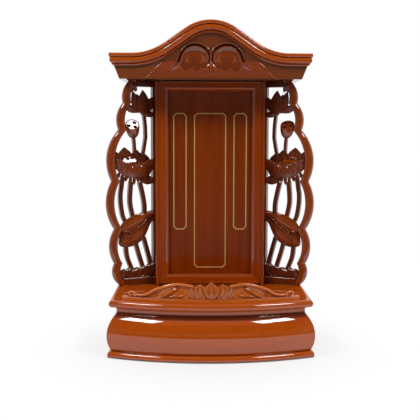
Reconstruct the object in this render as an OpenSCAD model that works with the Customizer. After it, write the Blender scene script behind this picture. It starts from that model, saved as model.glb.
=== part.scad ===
// Ancestor tablet: a bow-fronted base, a cased and framed panel that draws forward,
// two splayed pierced wings of lotus carving, and an ogee roof.
// Millimetres. X to the right, Y to the back, Z up; the origin is on the floor,
// midway across and midway between the front of the belly and the back.

/* [Base] */
// Width across the belly of the base
base_w = 298; // [280:1:330]
// Depth from the front of the belly to the flat back
base_d = 202; // [196:1:240]
// Radius of the bowed front, measured at the belly
bow_r = 380; // [330:5:600]
// Height of the foot moulding
foot_h = 10.5; // [10:0.5:16]
// Height of the belly
belly_h = 52; // [44:1:70]
// Height of the widest line of the belly above the foot
belly_crest_h = 22; // [16:0.5:26]
// Height of the neck moulding under the top board
neck_h = 10.5; // [9:0.5:14]
// Thickness of the top board
top_t = 11; // [9:0.5:14]
// Wall of the base, from the belly line to the inside
base_wall = 26; // [24:0.5:32]
// How far the foot stands inside the belly line
foot_in = 0.6; // [0:0.1:3]
// How far the belly draws in at the foot
belly_low_in = 6; // [4:0.1:9]
// How far the belly draws in at the neck
neck_in = 12.5; // [11:0.5:16]
// How far the top board stands inside the belly line
top_in = 3.2; // [1:0.1:6]
// Thickness of the back board of the base
base_back_t = 10; // [7:0.5:14]
// Thickness of the bottom board of the base
bottom_t = 7; // [5:0.5:8.5]
// Side of the glue blocks inside the corners
block_side = 18; // [12:1:22]

/* [Lotus crest] */
// How far the crest stands behind the belly line
crest_in = 17; // [14:0.5:24]
// Thickness of the crest
crest_t = 9; // [6:0.5:11]
// Half of the crest's length, along its chord
crest_reach = 128; // [112:1:132]
// Height of the low step under the scrolls
crest_step_h = 2.4; // [1.5:0.1:4]
// Height of the tip of the middle petal
lotus_h = 29; // [24:0.5:34]
// Width of the lotus across its petals
lotus_w = 60; // [50:1:70]
// Height of the scroll where it meets the lotus
scroll_h = 26; // [20:0.5:28]

/* [Case] */
// Width of the case
case_w = 168; // [150:1:180]
// Depth of the case
case_d = 55; // [53:1:62]
// Height of the case, from the base to the roof
case_h = 316; // [290:1:340]
// Distance from the back of the case to the back of the base
case_behind = 8; // [2:0.5:16]
// Thickness of the side boards
side_t = 9; // [8:0.5:12]
// Width of the side board that shows beside the door
side_lip = 5; // [3.5:0.5:6]
// Thickness of the floor and the top of the case
shelf_t = 9; // [8:0.5:12]
// Thickness of the back board of the case
case_back_t = 6; // [4:0.5:8]
// Thickness of the ledge under the door
ledge_t = 3; // [2:0.5:4]

/* [Door] */
// Thickness of the framed door
door_t = 18; // [16:0.5:20]
// Width of each rail and stile
rail_w = 14.7; // [13:0.1:18]
// Width of the bead round the edge of the door
bead_w = 2; // [1.5:0.1:3]
// How far the bead stands proud of the flat
bead_proud = 0.8; // [0.4:0.1:1.2]
// Width of the bevel inside the flat
bevel_w = 5; // [3:0.5:6]
// Depth from the front of the door to the face of the panel
panel_recess = 9.5; // [7.5:0.5:10.5]
// Thickness of the panel
panel_t = 6; // [4:0.5:6.5]
// How far the panel enters its grooves
groove_in = 4; // [3:0.5:6]

/* [Name slips] */
// Thickness of a slip
slip_t = 3; // [2.5:0.1:3.2]
// Width of a slip
slip_w = 120; // [90:1:132]
// Height of a slip
slip_h = 250; // [180:1:280]
// Height of the grooved tray
tray_h = 14; // [10:0.5:20]
// Depth of the grooves in the tray
tray_groove = 9; // [6:0.5:9.5]

/* [Wings] */
// Angle by which the wings come forward
wing_angle = 23; // [15:0.5:26]
// Thickness of a wing board
wing_t = 16; // [12:0.5:18]
// Reach of a wing out from the case, which the carving is drawn across
wing_w = 70; // [62:1:74]
// Distance of a wing's front from the front of the case, where they meet
wing_set = 22; // [18:0.5:26]
// Width of the scalloped rim
rim_w = 11.5; // [8:0.5:14]
// Width of the rail against the case
post_w = 4; // [3:0.5:6]
// Height of the bottom rail
wing_foot_h = 15.5; // [12:0.5:18]
// Height of the top rail
wing_head_h = 8.5; // [7.5:0.5:11]
// Width of a lotus stem
stem_w = 5.5; // [4:0.5:7]

/* [Roof] */
// Width across the tips of the roof
roof_w = 297; // [284:1:320]
// Width across the lower edge of the roof
roof_low_w = 269; // [256:1:276]
// Distance by which the front board stands before the case
roof_over = 41; // [34:1:46]
// Distance by which the roof stands behind the case
roof_behind = 6; // [2:0.5:10]
// Height of the flat tips above the lower edge
tip_h = 37; // [34:0.5:44]
// Height of the peak above the tips
roof_rise = 48; // [42:0.5:54]
// Radius over the peak
crown_r = 65; // [50:1:70]
// Radius of the hollows beside the peak
valley_r = 83; // [70:1:90]
// Steepest slope of the roof, in degrees
ogee_slope = 34.5; // [33:0.5:36]
// Thickness of the roof board
deck_t = 6; // [5:0.5:8]
// How far the roof board stands before the front board
deck_over = 10; // [9:0.5:14]
// Height of the crown moulding under the roof board
crown_h = 12; // [10:0.5:13]
// Thickness of the front, back and end boards
roof_board_t = 10; // [8:0.5:11]
// Thickness of the soffit
soffit_t = 8; // [8:0.5:12]
// Thickness of the carved plate on the front board
carving_t = 4; // [3:0.5:6]

/* [Fits] */
// Play round the door, the panel and the slips
play = 0.4; // [0.3:0.05:0.5]
// Play round a glued dowel or screw
dowel_play = 0.1; // [0.05:0.01:0.15]
// Diameter of the dowels
dowel_d = 4; // [3:0.5:5]
// Length of each dowel in each of the two pieces that it joins
dowel_reach = 7; // [5:0.5:7.5]
// Diameter of the shanks of the back screws
screw_d = 2.5; // [2:0.1:3]
// Diameter of the heads of the back screws
screw_head_d = 5; // [4:0.1:5.4]

/* [Hidden] */
$fn = 48;
ARC_STEPS = 10;
FINE_STEPS = 16;
rosewood = [0.45, 0.17, 0.05];
rosewood_dark = [0.33, 0.10, 0.04];
rosewood_warm = [0.60, 0.26, 0.07];
plain_wood = [0.72, 0.52, 0.31];
brass = [0.72, 0.56, 0.26];

// Heights and planes that the pieces share
front_y = -base_d / 2;
back_y = base_d / 2;
bow_y = front_y + bow_r;
belly_top = foot_h + belly_h;
neck_top = belly_top + neck_h;
base_h = neck_top + top_t;
case_back = back_y - case_behind;
case_front = case_back - case_d;
roof_z = base_h + case_h;
roof_front = case_front - roof_over;
roof_back = case_back + roof_behind;
tip_z = roof_z + tip_h;
half_base = base_w / 2;
half_case = case_w / 2;
half_tip = roof_w / 2;
half_low = roof_low_w / 2;

// Round and swept outlines

function turn(v) = [v[1], -v[0]];

// Points of an arc about a centre
function arc(c, r, from, to, n = ARC_STEPS) =
    [for (i = [0:n]) let (a = from + (to - from) * i / n) c + r * [cos(a), sin(a)]];

// Points of an arc from p to q that stands out by rise to the right of the way
function bulge(p, q, rise, n = ARC_STEPS) =
    let (chord = norm(q - p), way = (q - p) / chord, side = sign(rise) * turn(way),
         s = abs(rise), r = (chord * chord / 4 + s * s) / (2 * s),
         c = (p + q) / 2 + (s - r) * side,
         a = s > r ? 180 - asin(chord / 2 / r) : asin(min(1, chord / 2 / r)))
    [for (i = [0:n]) let (t = a * (2 * i / n - 1)) c + r * (side * cos(t) + way * sin(t))];

// A chain of arcs through points, each with its own rise
function chain(points, rises, n = ARC_STEPS) =
    [for (k = [0:len(rises) - 1]) each
        [for (p = bulge(points[k], points[k + 1], rises[k], n)) p]];

function flip(points) = [for (i = [len(points) - 1:-1:0]) points[i]];

// A strip of even width along an arc from p to q
module strip(p, q, rise, width) {
    edge = bulge(p, q, rise);
    last = len(edge) - 1;
    sides = [for (i = [0:last])
        turn((edge[min(i + 1, last)] - edge[max(i - 1, 0)])
             / norm(edge[min(i + 1, last)] - edge[max(i - 1, 0)])) * width / 2];
    polygon(concat([for (i = [0:last]) edge[i] + sides[i]],
                   [for (i = [last:-1:0]) edge[i] - sides[i]]));
}

// Outline in the XZ plane carried from one Y to another
module slab(y0, y1) {
    translate([0, y1, 0]) rotate([90, 0, 0]) linear_extrude(y1 - y0) children();
}

// A leaf-shaped petal from its root to its tip
module petal(root, tip, width) {
    polygon(concat(bulge(root, tip, width / 2), bulge(tip, root, width / 2)));
}

// Base: profiles are drawn as (distance outside the belly line, height)

foot_lower_r = 3.5;
foot_upper_r = 6;
foot_profile = concat(
    [[-base_wall, 0]],
    arc([-foot_in - foot_lower_r, foot_lower_r], foot_lower_r, -90, 0),
    arc([-foot_in - foot_upper_r, foot_h - foot_upper_r], foot_upper_r, 0, 90),
    [[-base_wall, foot_h]]);

// Radius of an arc that draws in by "draw" over a height, upright where it starts
function draw_r(height, draw) = (height * height + draw * draw) / (2 * draw);

belly_low_r = draw_r(belly_crest_h, belly_low_in);
belly_high = belly_h - belly_crest_h;
belly_high_r = draw_r(belly_high, neck_in);
crest_line_z = foot_h + belly_crest_h;
belly_profile = concat(
    [[-base_wall, foot_h]],
    arc([-belly_low_r, crest_line_z], belly_low_r, -asin(belly_crest_h / belly_low_r), 0),
    arc([-belly_high_r, crest_line_z], belly_high_r, 0, asin(belly_high / belly_high_r)),
    [[-base_wall, belly_top]]);

// The neck rises from the belly in a hollow and meets the top board in a cove
neck_hollow_r = 6;
neck_hollow_angle = 43;
neck_hollow_h = neck_hollow_r * sin(neck_hollow_angle);
neck_wall_in = neck_in + neck_hollow_r * (1 - cos(neck_hollow_angle));
neck_cove_r = 4.5;
neck_profile = concat(
    [[-base_wall, belly_top]],
    arc([neck_hollow_r - neck_wall_in, belly_top + neck_hollow_h], neck_hollow_r, 180 + neck_hollow_angle, 180),
    arc([neck_cove_r - neck_wall_in, neck_top - neck_cove_r], neck_cove_r, 180, 90),
    [[-base_wall, neck_top]]);

top_nose_r = top_t / 2;
top_edge = arc([-top_in - top_nose_r, neck_top + top_nose_r], top_nose_r, -90, 90, FINE_STEPS);

// Place along the side where the bowed front and the side meet, "out" from the belly line
function corner(out) = [half_base + out,
    bow_y - sqrt(pow(bow_r + out, 2) - pow(half_base + out, 2))];

mitre_in = corner(-base_wall);
mitre_out = corner(0);
mitre_way = (mitre_out - mitre_in) / norm(mitre_out - mitre_in);
mitre_reach = 60;
mitre_far = mitre_out + mitre_reach * mitre_way;
mitre_near = mitre_in - mitre_reach * mitre_way;

// Profile carried round the bow
module bowed(profile) {
    sweep = 2 * asin(half_base / bow_r) + 10;
    translate([0, bow_y, 0]) rotate([0, 0, -90 - sweep / 2])
        rotate_extrude(angle = sweep)
            polygon([for (p = profile) [bow_r + p[0], p[1]]]);
}

// Wedge before the two mitres
module front_wedge(height) {
    linear_extrude(height)
        polygon([[-mitre_near[0], mitre_near[1]], [-mitre_far[0], mitre_far[1]],
                 [-mitre_far[0], front_y - 1], [mitre_far[0], front_y - 1],
                 mitre_far, mitre_near]);
}

module front_moulding(profile) {
    intersection() {
        bowed(profile);
        front_wedge(neck_top + 1);
    }
}

// Right-hand moulding, cut at its mitre and square at the back
module side_moulding(profile) {
    intersection() {
        translate([half_base, back_y, 0]) rotate([90, 0, 0])
            linear_extrude(base_d) polygon(profile);
        linear_extrude(neck_top + 1)
            polygon([mitre_near, mitre_far, [mitre_far[0], back_y], [mitre_near[0], back_y]]);
    }
}

module foot_front() { color(rosewood_warm) front_moulding(foot_profile); }
module foot_right() { color(rosewood_warm) side_moulding(foot_profile); }
module foot_left() { mirror([1, 0, 0]) foot_right(); }
module belly_front() { color(rosewood_warm) front_moulding(belly_profile); }
module belly_right() { color(rosewood_warm) side_moulding(belly_profile); }
module belly_left() { mirror([1, 0, 0]) belly_right(); }
module neck_front() { color(rosewood) front_moulding(neck_profile); }
module neck_right() { color(rosewood) side_moulding(neck_profile); }
module neck_left() { mirror([1, 0, 0]) neck_right(); }

inside_x = half_base - base_wall;

// Plan of the hollow inside the base, behind the bow and before a back line
module inside_plan(back) {
    intersection() {
        translate([0, bow_y]) circle(r = bow_r - base_wall, $fn = 180);
        translate([-inside_x, front_y]) square([2 * inside_x, back - front_y]);
    }
}

module base_bottom_board() {
    color(plain_wood) linear_extrude(bottom_t) inside_plan(back_y);
}

module base_back_board() {
    color(rosewood) translate([-inside_x, back_y - base_back_t, bottom_t])
        cube([2 * inside_x, base_back_t, neck_top - bottom_t]);
}

// Glue blocks in the four inside corners, between the bottom and the top board
module corner_blocks() {
    front_block_y = corner(-base_wall)[1];
    back_block_y = back_y - base_back_t - block_side;
    color(plain_wood)
        for (side = [-1, 1], y = [front_block_y, back_block_y])
            translate([side > 0 ? inside_x - block_side : -inside_x, y, bottom_t])
                cube([block_side, block_side, neck_top - bottom_t]);
}

module base_top_solid() {
    intersection() {
        bowed_top();
        translate([0, back_y, 0]) rotate([90, 0, 0]) linear_extrude(base_d)
            polygon(concat([for (p = top_edge) [half_base + p[0], p[1]]],
                           [for (p = flip(top_edge)) [-half_base - p[0], p[1]]]));
    }
}

// The top board's edge turned about the centre of the bow
module bowed_top() {
    inner_r = bow_r - base_d - 60;
    translate([0, bow_y, 0])
        rotate_extrude($fn = 180)
            polygon(concat([[inner_r, neck_top]],
                           [for (p = top_edge) [bow_r + p[0], p[1]]],
                           [[inner_r, base_h]]));
}

module base_top_board() {
    color(rosewood_warm) difference() {
        base_top_solid();
        dowel_holes(case_dowel_places(), base_h);
    }
}

// Lotus crest: drawn flat as (place along the chord, height) and cut from a bowed slab

crest_outer_r = bow_r - crest_in;
lotus_half = lotus_w / 2;
curl_r = 4.6;
dip_h = 8.5;
curl_x = crest_reach - 2 * curl_r;
// Points of one scroll, from the lotus out to the curl, and how far each stretch bows
scroll_points = [[lotus_half - curl_r, 0.9 * scroll_h], [0.36 * crest_reach, scroll_h],
                 [0.51 * crest_reach, 0.88 * scroll_h], [0.64 * crest_reach, 0.63 * scroll_h],
                 [0.78 * crest_reach, dip_h], [curl_x, dip_h]];
scroll_rises = [-0.5, -0.5, -0.5, 1.2, 0.5];

module scroll_outline() {
    edge = chain(scroll_points, scroll_rises, 6);
    end = [[curl_x, crest_step_h], [crest_reach, crest_step_h], [crest_reach, 0]];
    right = concat(edge, end);
    polygon(concat(right, [for (p = flip(right)) [-p[0], p[1]]]));
}

module curl_outline(side) {
    translate([side * (curl_x + 0.3 * curl_r), dip_h]) circle(r = curl_r, $fn = 24);
}

// Five petals fanned about the middle: lean of each tip and share of the full height
petal_leans = [-27, -15, 0, 15, 27];
petal_heights = [0.81, 0.88, 1, 0.88, 0.81];
petal_root_h = 3;

module lotus_outline() {
    middle = (len(petal_leans) - 1) / 2;
    for (i = [0:len(petal_leans) - 1]) {
        root = [(i - middle) * lotus_w / 8, petal_root_h];
        tip_h = lotus_h * petal_heights[i];
        petal(root, [root[0] + tip_h * tan(petal_leans[i]), tip_h], 0.3 * lotus_w);
    }
}

module lotus_crest() {
    color(rosewood_warm) intersection() {
        translate([0, bow_y, base_h]) rotate([0, 0, -120]) rotate_extrude(angle = 60)
            translate([crest_outer_r - crest_t, 0]) square([crest_t, lotus_h + 2]);
        translate([0, 0, base_h]) union() {
            slab(front_y, 0) scroll_outline();
            slab(front_y, 0) curl_outline(-1);
            slab(front_y, 0) curl_outline(1);
            slab(front_y, 0) lotus_outline();
        }
    }
}

// Case

door_w = case_w - 2 * side_lip - 2 * play;
door_z = base_h + ledge_t + play;
door_h = roof_z - play - door_z;
door_back = case_front + door_t;
rebate_y = door_back + play;
rebate_w = side_t - side_lip;
shelf_x = half_case - side_t;
back_rebate = side_t / 2;
ledge_set = 1;
case_back_y = case_back - case_back_t;

// Places of the dowels that join the case to the base and to the roof, before and behind
// the dowels of the wings
dowel_edge = 5;
function case_dowel_places() =
    [for (x = [-1, 1], y = [rebate_y + dowel_edge, case_back_y - dowel_edge])
        [x * (half_case - side_t / 2), y]];

module dowel_holes(places, z) {
    for (p = places) translate([p[0], p[1], z - dowel_reach - dowel_play])
        cylinder(d = dowel_d + 2 * dowel_play, h = 2 * (dowel_reach + dowel_play));
}

module upright_dowels(places, z) {
    color(plain_wood) for (p = places) translate([p[0], p[1], z - dowel_reach])
        cylinder(d = dowel_d, h = 2 * dowel_reach);
}

module case_side_right() {
    color(rosewood_dark) difference() {
        translate([shelf_x, case_front, base_h]) cube([side_t, case_d, case_h]);
        translate([shelf_x - 1, case_front - 1, base_h - 1])
            cube([rebate_w + 1, rebate_y - case_front + 1, case_h + 2]);
        translate([shelf_x - 1, case_back_y, base_h - 1])
            cube([back_rebate + 1, case_back_t + 1, case_h + 2]);
        dowel_holes(case_dowel_places(), base_h);
        dowel_holes(case_dowel_places(), roof_z);
        wing_dowel_holes();
    }
}

module case_side_left() { mirror([1, 0, 0]) case_side_right(); }

// The floor has a thin ledge that runs forward under the door
module case_floor() {
    color(rosewood_dark) difference() {
        union() {
            translate([-shelf_x, rebate_y, base_h])
                cube([2 * shelf_x, case_back_y - rebate_y, shelf_t]);
            translate([-shelf_x, case_front + ledge_set, base_h])
                cube([2 * shelf_x, rebate_y - case_front - ledge_set, ledge_t]);
        }
        screws_at(dowel_play);
    }
}

module case_top() {
    color(rosewood_dark) difference() {
        translate([-shelf_x, rebate_y, roof_z - shelf_t])
            cube([2 * shelf_x, case_back_y - rebate_y, shelf_t]);
        screws_at(dowel_play);
    }
}

screw_x = shelf_x * 0.6;
screw_head_t = 1.6;
screw_len = 16;

function back_screw_places() =
    [for (x = [-1, 1], z = [base_h + shelf_t / 2, roof_z - shelf_t / 2]) [x * screw_x, z]];

// Screws with flush heads, or with "grow" the holes that take them
module screws_at(grow) {
    for (p = back_screw_places()) translate([p[0], case_back + grow, p[1]]) rotate([90, 0, 0]) {
        cylinder(d = screw_d + 2 * grow, h = screw_len + 2 * grow);
        cylinder(d = screw_head_d + 2 * grow, h = screw_head_t + 2 * grow);
    }
}

module back_screws() { color(brass) screws_at(0); }

module case_back_board() {
    board_x = half_case - side_t + back_rebate;
    color(rosewood) difference() {
        translate([-board_x, case_back_y, base_h]) cube([2 * board_x, case_back_t, case_h]);
        screws_at(dowel_play);
    }
}

// Door: the bar's section is drawn as (distance in from the edge, depth from the front)

groove_front = panel_recess - dowel_play;
groove_back = panel_recess + panel_t + dowel_play;
flat_end = rail_w - bevel_w;
bead_r = bead_w / 2;
bar_section = concat(
    [[0, door_t], [0, bead_proud + bead_r]],
    [for (p = arc([bead_r, bead_r], bead_r, 180, 360, 8)) p],
    [[bead_w, bead_proud], [flat_end, bead_proud], [rail_w, bead_proud + bevel_w],
     [rail_w, groove_front], [rail_w - groove_in, groove_front],
     [rail_w - groove_in, groove_back], [rail_w, groove_back], [rail_w, door_t]]);
door_half = door_w / 2;
door_top = door_z + door_h;

module door_stile_right() {
    color(rosewood) intersection() {
        translate([0, 0, door_z]) linear_extrude(door_h)
            polygon([for (p = bar_section) [door_half - p[0], case_front + p[1]]]);
        slab(case_front - 1, door_back + 1)
            polygon([[door_half, door_z], [door_half, door_top],
                     [door_half - rail_w, door_top - rail_w], [door_half - rail_w, door_z + rail_w]]);
    }
}

module door_stile_left() { mirror([1, 0, 0]) door_stile_right(); }

// A rail is drawn at the top of the door, or upside down at the bottom
module door_rail(edge_z, inward) {
    color(rosewood) intersection() {
        translate([-door_half, 0, 0]) rotate([90, 0, 90]) linear_extrude(door_w)
            polygon([for (p = bar_section) [case_front + p[1], edge_z + inward * p[0]]]);
        slab(case_front - 1, door_back + 1)
            polygon([[-door_half, edge_z], [door_half, edge_z],
                     [door_half - rail_w, edge_z + inward * rail_w],
                     [-door_half + rail_w, edge_z + inward * rail_w]]);
    }
}

module door_top_rail() { door_rail(door_top, -1); }
module door_bottom_rail() { door_rail(door_z, 1); }

module inscription_panel() {
    inset = rail_w - groove_in + play;
    color(rosewood_dark) translate([-door_half + inset, case_front + panel_recess, door_z + inset])
        cube([door_w - 2 * inset, panel_t, door_h - 2 * inset]);
}

// Slips standing in their grooved tray, behind the door

slip_count = 6;
slide_gap = 0.3;
tray_clear = 1;
tray_margin = 6;
tray_end_wall = 1.8;
tray_y = rebate_y + tray_clear;
tray_d = case_back_y - tray_clear - tray_y;
slip_pitch = (tray_d - 2 * tray_end_wall - slip_t) / (slip_count - 1);
tray_z = base_h + shelf_t + slide_gap;
groove_z = tray_z + tray_h - tray_groove;
slip_chamfer = 14;

function slip_y(i) = tray_y + tray_end_wall + i * slip_pitch;

module slip_tray() {
    tray_half = slip_w / 2 + tray_margin;
    color(plain_wood) difference() {
        translate([-tray_half, tray_y, tray_z]) cube([2 * tray_half, tray_d, tray_h]);
        for (i = [0:slip_count - 1])
            translate([-slip_w / 2 - play, slip_y(i) - dowel_play, groove_z])
                cube([slip_w + 2 * play, slip_t + 2 * dowel_play, tray_h]);
    }
}

module name_slip(i) {
    half = slip_w / 2;
    top = groove_z + slip_h;
    color(plain_wood) slab(slip_y(i), slip_y(i) + slip_t)
        polygon([[-half, groove_z], [half, groove_z], [half, top - slip_chamfer],
                 [half - slip_chamfer, top], [-half + slip_chamfer, top], [-half, top - slip_chamfer]]);
}

// Wings: drawn flat as (hundredths of the reach out from the case, hundredths of the
// case's height), so that the carving stretches with the wing

function on_wing(points) = [for (p = points) [p[0] * wing_w, p[1] * case_h] / 100];
function rise_on_wing(rises) = [for (r = rises) r * wing_w / 100];

rim_cusps = on_wing([[83.5, 0], [95.5, 11], [95.5, 28], [100.5, 51.5], [84.5, 76.5], [73.5, 89.5], [60, 100]]);
rim_rises = rise_on_wing([10, 10.5, 14.5, 18, 9, 7]);
post_back = 12;

module wing_rim() {
    outer = chain(rim_cusps, rim_rises);
    inner = chain([for (p = rim_cusps) p - [rim_w, 0]], rim_rises);
    polygon(concat(outer, flip(inner)));
}

// Rails that hold the carving at the foot, the head and the case
module wing_rails() {
    translate([-post_back, 0]) square([post_back + post_w, case_h]);
    translate([-post_back, 0]) square([post_back + rim_cusps[0][0] - 1, wing_foot_h]);
    head_w = rim_cusps[len(rim_cusps) - 1][0] - 1;
    translate([-post_back, case_h - wing_head_h]) square([post_back + head_w, wing_head_h]);
}

// Waves along the bottom rail
module wing_waves() {
    crests = on_wing([[84, 7.9], [63, 8.5], [40, 7.9], [17, 9.2], [0, 9.5]]);
    polygon(concat(chain(crests, rise_on_wing([4.3, 4.3, 4.3, 2.9]), 6),
                   [[0, wing_foot_h - 1], [crests[0][0], wing_foot_h - 1]]));
}

// Stems: root, top and how far each one bows
stems = [[[69, 20.5], [56, 7.5], -4.5], [[47, 23], [28, 7], -1], [[27, 23.5], [11.5, 8.5], 1.5],
         [[75.5, 54], [68, 30.5], -8.5], [[56, 51.5], [52, 33.5], -4.5], [[35, 51.5], [25, 34.5], 2.5],
         [[50.5, 75], [47, 64], 1], [[24.5, 86.5], [28, 63.5], 5]];

module wing_stems() {
    for (s = stems) {
        ends = on_wing([s[0], s[1]]);
        strip(ends[0], ends[1], rise_on_wing([s[2]])[0], stem_w);
    }
}

// Open flower over the middle, with its tall back petals and drooping front petals
module wing_blossom() {
    tops = on_wing([[94.5, 61], [90, 66], [69, 68], [39.5, 67], [21, 64], [0, 61.5]]);
    lows = on_wing([[0, 51.5], [5, 50.5], [32.5, 50], [36.5, 52], [46.5, 50], [57.5, 50], [69, 52], [88, 53]]);
    polygon(concat(chain(tops, rise_on_wing([3, -8, -10, -8, -4]), 6),
                   chain(lows, rise_on_wing([1, 3, -1, 2, 2, 1, -2]), 4)));
}

// Furled leaf that crosses from the case down to the rim
module wing_furled_leaf() {
    upper = on_wing([[78.5, 29], [64.5, 32.5], [38.5, 36], [29.5, 35], [20.5, 36], [0, 37]]);
    lower = on_wing([[0, 33], [13.5, 31], [20.5, 28], [28, 22.5], [45.5, 22], [57, 19.5], [70.5, 19], [85.5, 21.5]]);
    polygon(concat(chain(upper, rise_on_wing([3, 2, 2, 2, -2]), 4),
                   chain(lower, rise_on_wing([1, 1, -3, 2, -2, 2, 3]), 4)));
}

// Bud at the head: five petals from one root, each with its width
bud_petals = [[[28, 85], [29, 95.5], 22], [[34, 85], [51, 95], 16], [[22, 85], [3, 92.5], 17],
              [[30, 86], [66, 87.5], 16], [[28.5, 86], [3, 83.5], 14]];

module wing_bud() {
    for (b = bud_petals) {
        ends = on_wing([b[0], b[1]]);
        petal(ends[0], ends[1], rise_on_wing([b[2]])[0]);
    }
}

// Seed pod: a round face over a cup that narrows to its stem
pod_r = 11;
module wing_pod() {
    middle = on_wing([[54.5, 78.5]])[0];
    translate(middle) circle(r = pod_r);
    polygon([for (p = [[-0.86, -0.36], [0.86, -0.36], [0.1, -1.45], [-0.36, -1.45]]) middle + pod_r * p]);
}

stem_set = 4;
leaf_set = 1;

// One wing standing at the right of the case, its front face along +X
module wing_board() {
    slab(0, wing_t) {
        wing_rim();
        wing_rails();
    }
    slab(leaf_set, wing_t - leaf_set) {
        wing_waves();
        wing_blossom();
        wing_furled_leaf();
        wing_bud();
        wing_pod();
    }
    slab(stem_set, wing_t - stem_set) wing_stems();
}

wing_y = case_front + wing_set;
wing_dowel_y = wing_y + wing_t / 2;

// Heights of the dowels that join each wing to the case
function wing_dowel_heights() = [base_h + wing_foot_h / 2, roof_z - wing_head_h / 2];

module wing_dowel_holes() {
    for (z = wing_dowel_heights())
        translate([half_case - dowel_reach - dowel_play, wing_dowel_y, z]) rotate([0, 90, 0])
            cylinder(d = dowel_d + 2 * dowel_play, h = 2 * (dowel_reach + dowel_play));
}

module wing_right() {
    color(rosewood) difference() {
        translate([half_case, wing_y, base_h]) rotate([0, 0, -wing_angle]) wing_board();
        translate([0, case_front, base_h - 1]) cube([half_case, case_d, case_h + 2]);
        wing_dowel_holes();
    }
}

module wing_left() { mirror([1, 0, 0]) wing_right(); }

module wing_dowels() {
    color(plain_wood)
        for (side = [0, 1], z = wing_dowel_heights()) mirror([side, 0, 0])
            translate([half_case - dowel_reach, wing_dowel_y, z]) rotate([0, 90, 0])
                cylinder(d = dowel_d, h = 2 * dowel_reach);
}

// Roof: the ogee is drawn at the top of the roof board and at depths below it

peak_z = tip_z + roof_rise;
crown_end = [crown_r * sin(ogee_slope), peak_z - crown_r * (1 - cos(ogee_slope))];
valley_start_z = tip_z + valley_r * (1 - cos(ogee_slope));
slope_run = (crown_end[1] - valley_start_z) / tan(ogee_slope);
valley_x = crown_end[0] + slope_run + valley_r * sin(ogee_slope);

// Right half of the ogee at a depth, from the peak out to a tip
function ogee_half(depth, tip_x) = concat(
    arc([0, peak_z - crown_r], crown_r - depth, 90, 90 - ogee_slope),
    arc([valley_x, tip_z + valley_r], valley_r + depth, 270 - ogee_slope, 270),
    [[tip_x, tip_z - depth]]);

function ogee(depth, tip_x) = let (right = ogee_half(depth, tip_x))
    concat([for (p = flip(right)) [-p[0], p[1]]], right);

module ogee_band(depth, low_depth, tip_x) {
    polygon(concat(ogee(depth, tip_x), flip(ogee(low_depth, tip_x))));
}

end_over = 6.5;
end_x = half_tip - end_over;
fascia_z = tip_z - deck_t - crown_h;
end_lean = (end_x - half_low) / (fascia_z - roof_z);
deck_nose = 2;

module roof_deck() {
    color(rosewood) {
        slab(roof_front - deck_over + deck_nose, roof_back) ogee_band(0, deck_t, half_tip);
        slab(roof_front - deck_over, roof_front - deck_over + deck_nose)
            ogee_band(deck_t / 5, deck_t * 4 / 5, half_tip);
    }
}

// Steps of the crown moulding: share of its height and share of its reach
crown_steps = [[0, 0.34, 0.86], [0.34, 0.6, 0.76], [0.6, 0.82, 0.52], [0.82, 1, 0.2]];

module roof_crown_front() {
    color(rosewood_warm) for (s = crown_steps)
        slab(roof_front - deck_over * s[2], roof_front)
            ogee_band(deck_t + crown_h * s[0], deck_t + crown_h * s[1], end_x + end_over * s[2]);
}

module roof_crown_right() {
    color(rosewood_warm) for (s = crown_steps)
        translate([end_x, roof_front, tip_z - deck_t - crown_h * s[1]])
            cube([end_over * s[2], roof_back - roof_front, crown_h * (s[1] - s[0])]);
}

module roof_crown_left() { mirror([1, 0, 0]) roof_crown_right(); }

module gable_outline() {
    polygon(concat([[half_low, roof_z], [-half_low, roof_z], [-end_x, fascia_z]],
                   ogee(deck_t, end_x), [[end_x, fascia_z]]));
}

module roof_front_board() { color(rosewood_dark) slab(roof_front, roof_front + roof_board_t) gable_outline(); }
module roof_back_board() { color(rosewood_dark) slab(roof_back - roof_board_t, roof_back) gable_outline(); }

module roof_end_right() {
    color(rosewood_dark) slab(roof_front + roof_board_t, roof_back - roof_board_t)
        polygon([[half_low - roof_board_t, roof_z], [half_low, roof_z], [end_x, fascia_z],
                 [end_x, tip_z - deck_t], [end_x - roof_board_t, tip_z - deck_t],
                 [end_x - roof_board_t, fascia_z]]);
}

module roof_end_left() { mirror([1, 0, 0]) roof_end_right(); }

module roof_soffit() {
    low_x = half_low - roof_board_t;
    high_x = low_x + end_lean * soffit_t;
    color(rosewood_dark) difference() {
        slab(roof_front + roof_board_t, roof_back - roof_board_t)
            polygon([[-low_x, roof_z], [low_x, roof_z],
                     [high_x, roof_z + soffit_t], [-high_x, roof_z + soffit_t]]);
        dowel_holes(case_dowel_places(), roof_z);
    }
}

// Carved plate of clouds and a double ruyi scroll, drawn from the lower edge of the roof

cloud_reach = 96.5;
cloud_h = 26.5;
tail_h = 17;
eye_x = 24;
eye_z = 27;
eye_place = [eye_x, eye_z];
scroll_outer_r = 25;
scroll_inner_r = 18;
eye_r = 15.5;
cloud_edge = 0.8;

module cloud_outline() {
    side = chain([[cloud_reach, cloud_edge], [0.84 * cloud_reach, 0.6 * cloud_h],
                  [0.67 * cloud_reach, cloud_h], [2 * eye_x, 0.78 * cloud_h]],
                 [-0.06, 0.06, 0.1] * cloud_h, 6);
    for (m = [0, 1]) mirror([m, 0]) {
        polygon(concat([[0, cloud_edge]], side, [[0, 0.78 * cloud_h]]));
        translate(eye_place) circle(r = scroll_outer_r);
    }
}

module scroll_band() {
    for (m = [0, 1]) mirror([m, 0]) difference() {
        translate(eye_place) circle(r = scroll_outer_r);
        translate(eye_place) circle(r = scroll_inner_r);
        translate([-2 * scroll_outer_r, 0]) square([2 * scroll_outer_r, 4 * scroll_outer_r]);
        translate([-1, -1]) square([cloud_reach, tail_h + 1]);
    }
}

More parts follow.
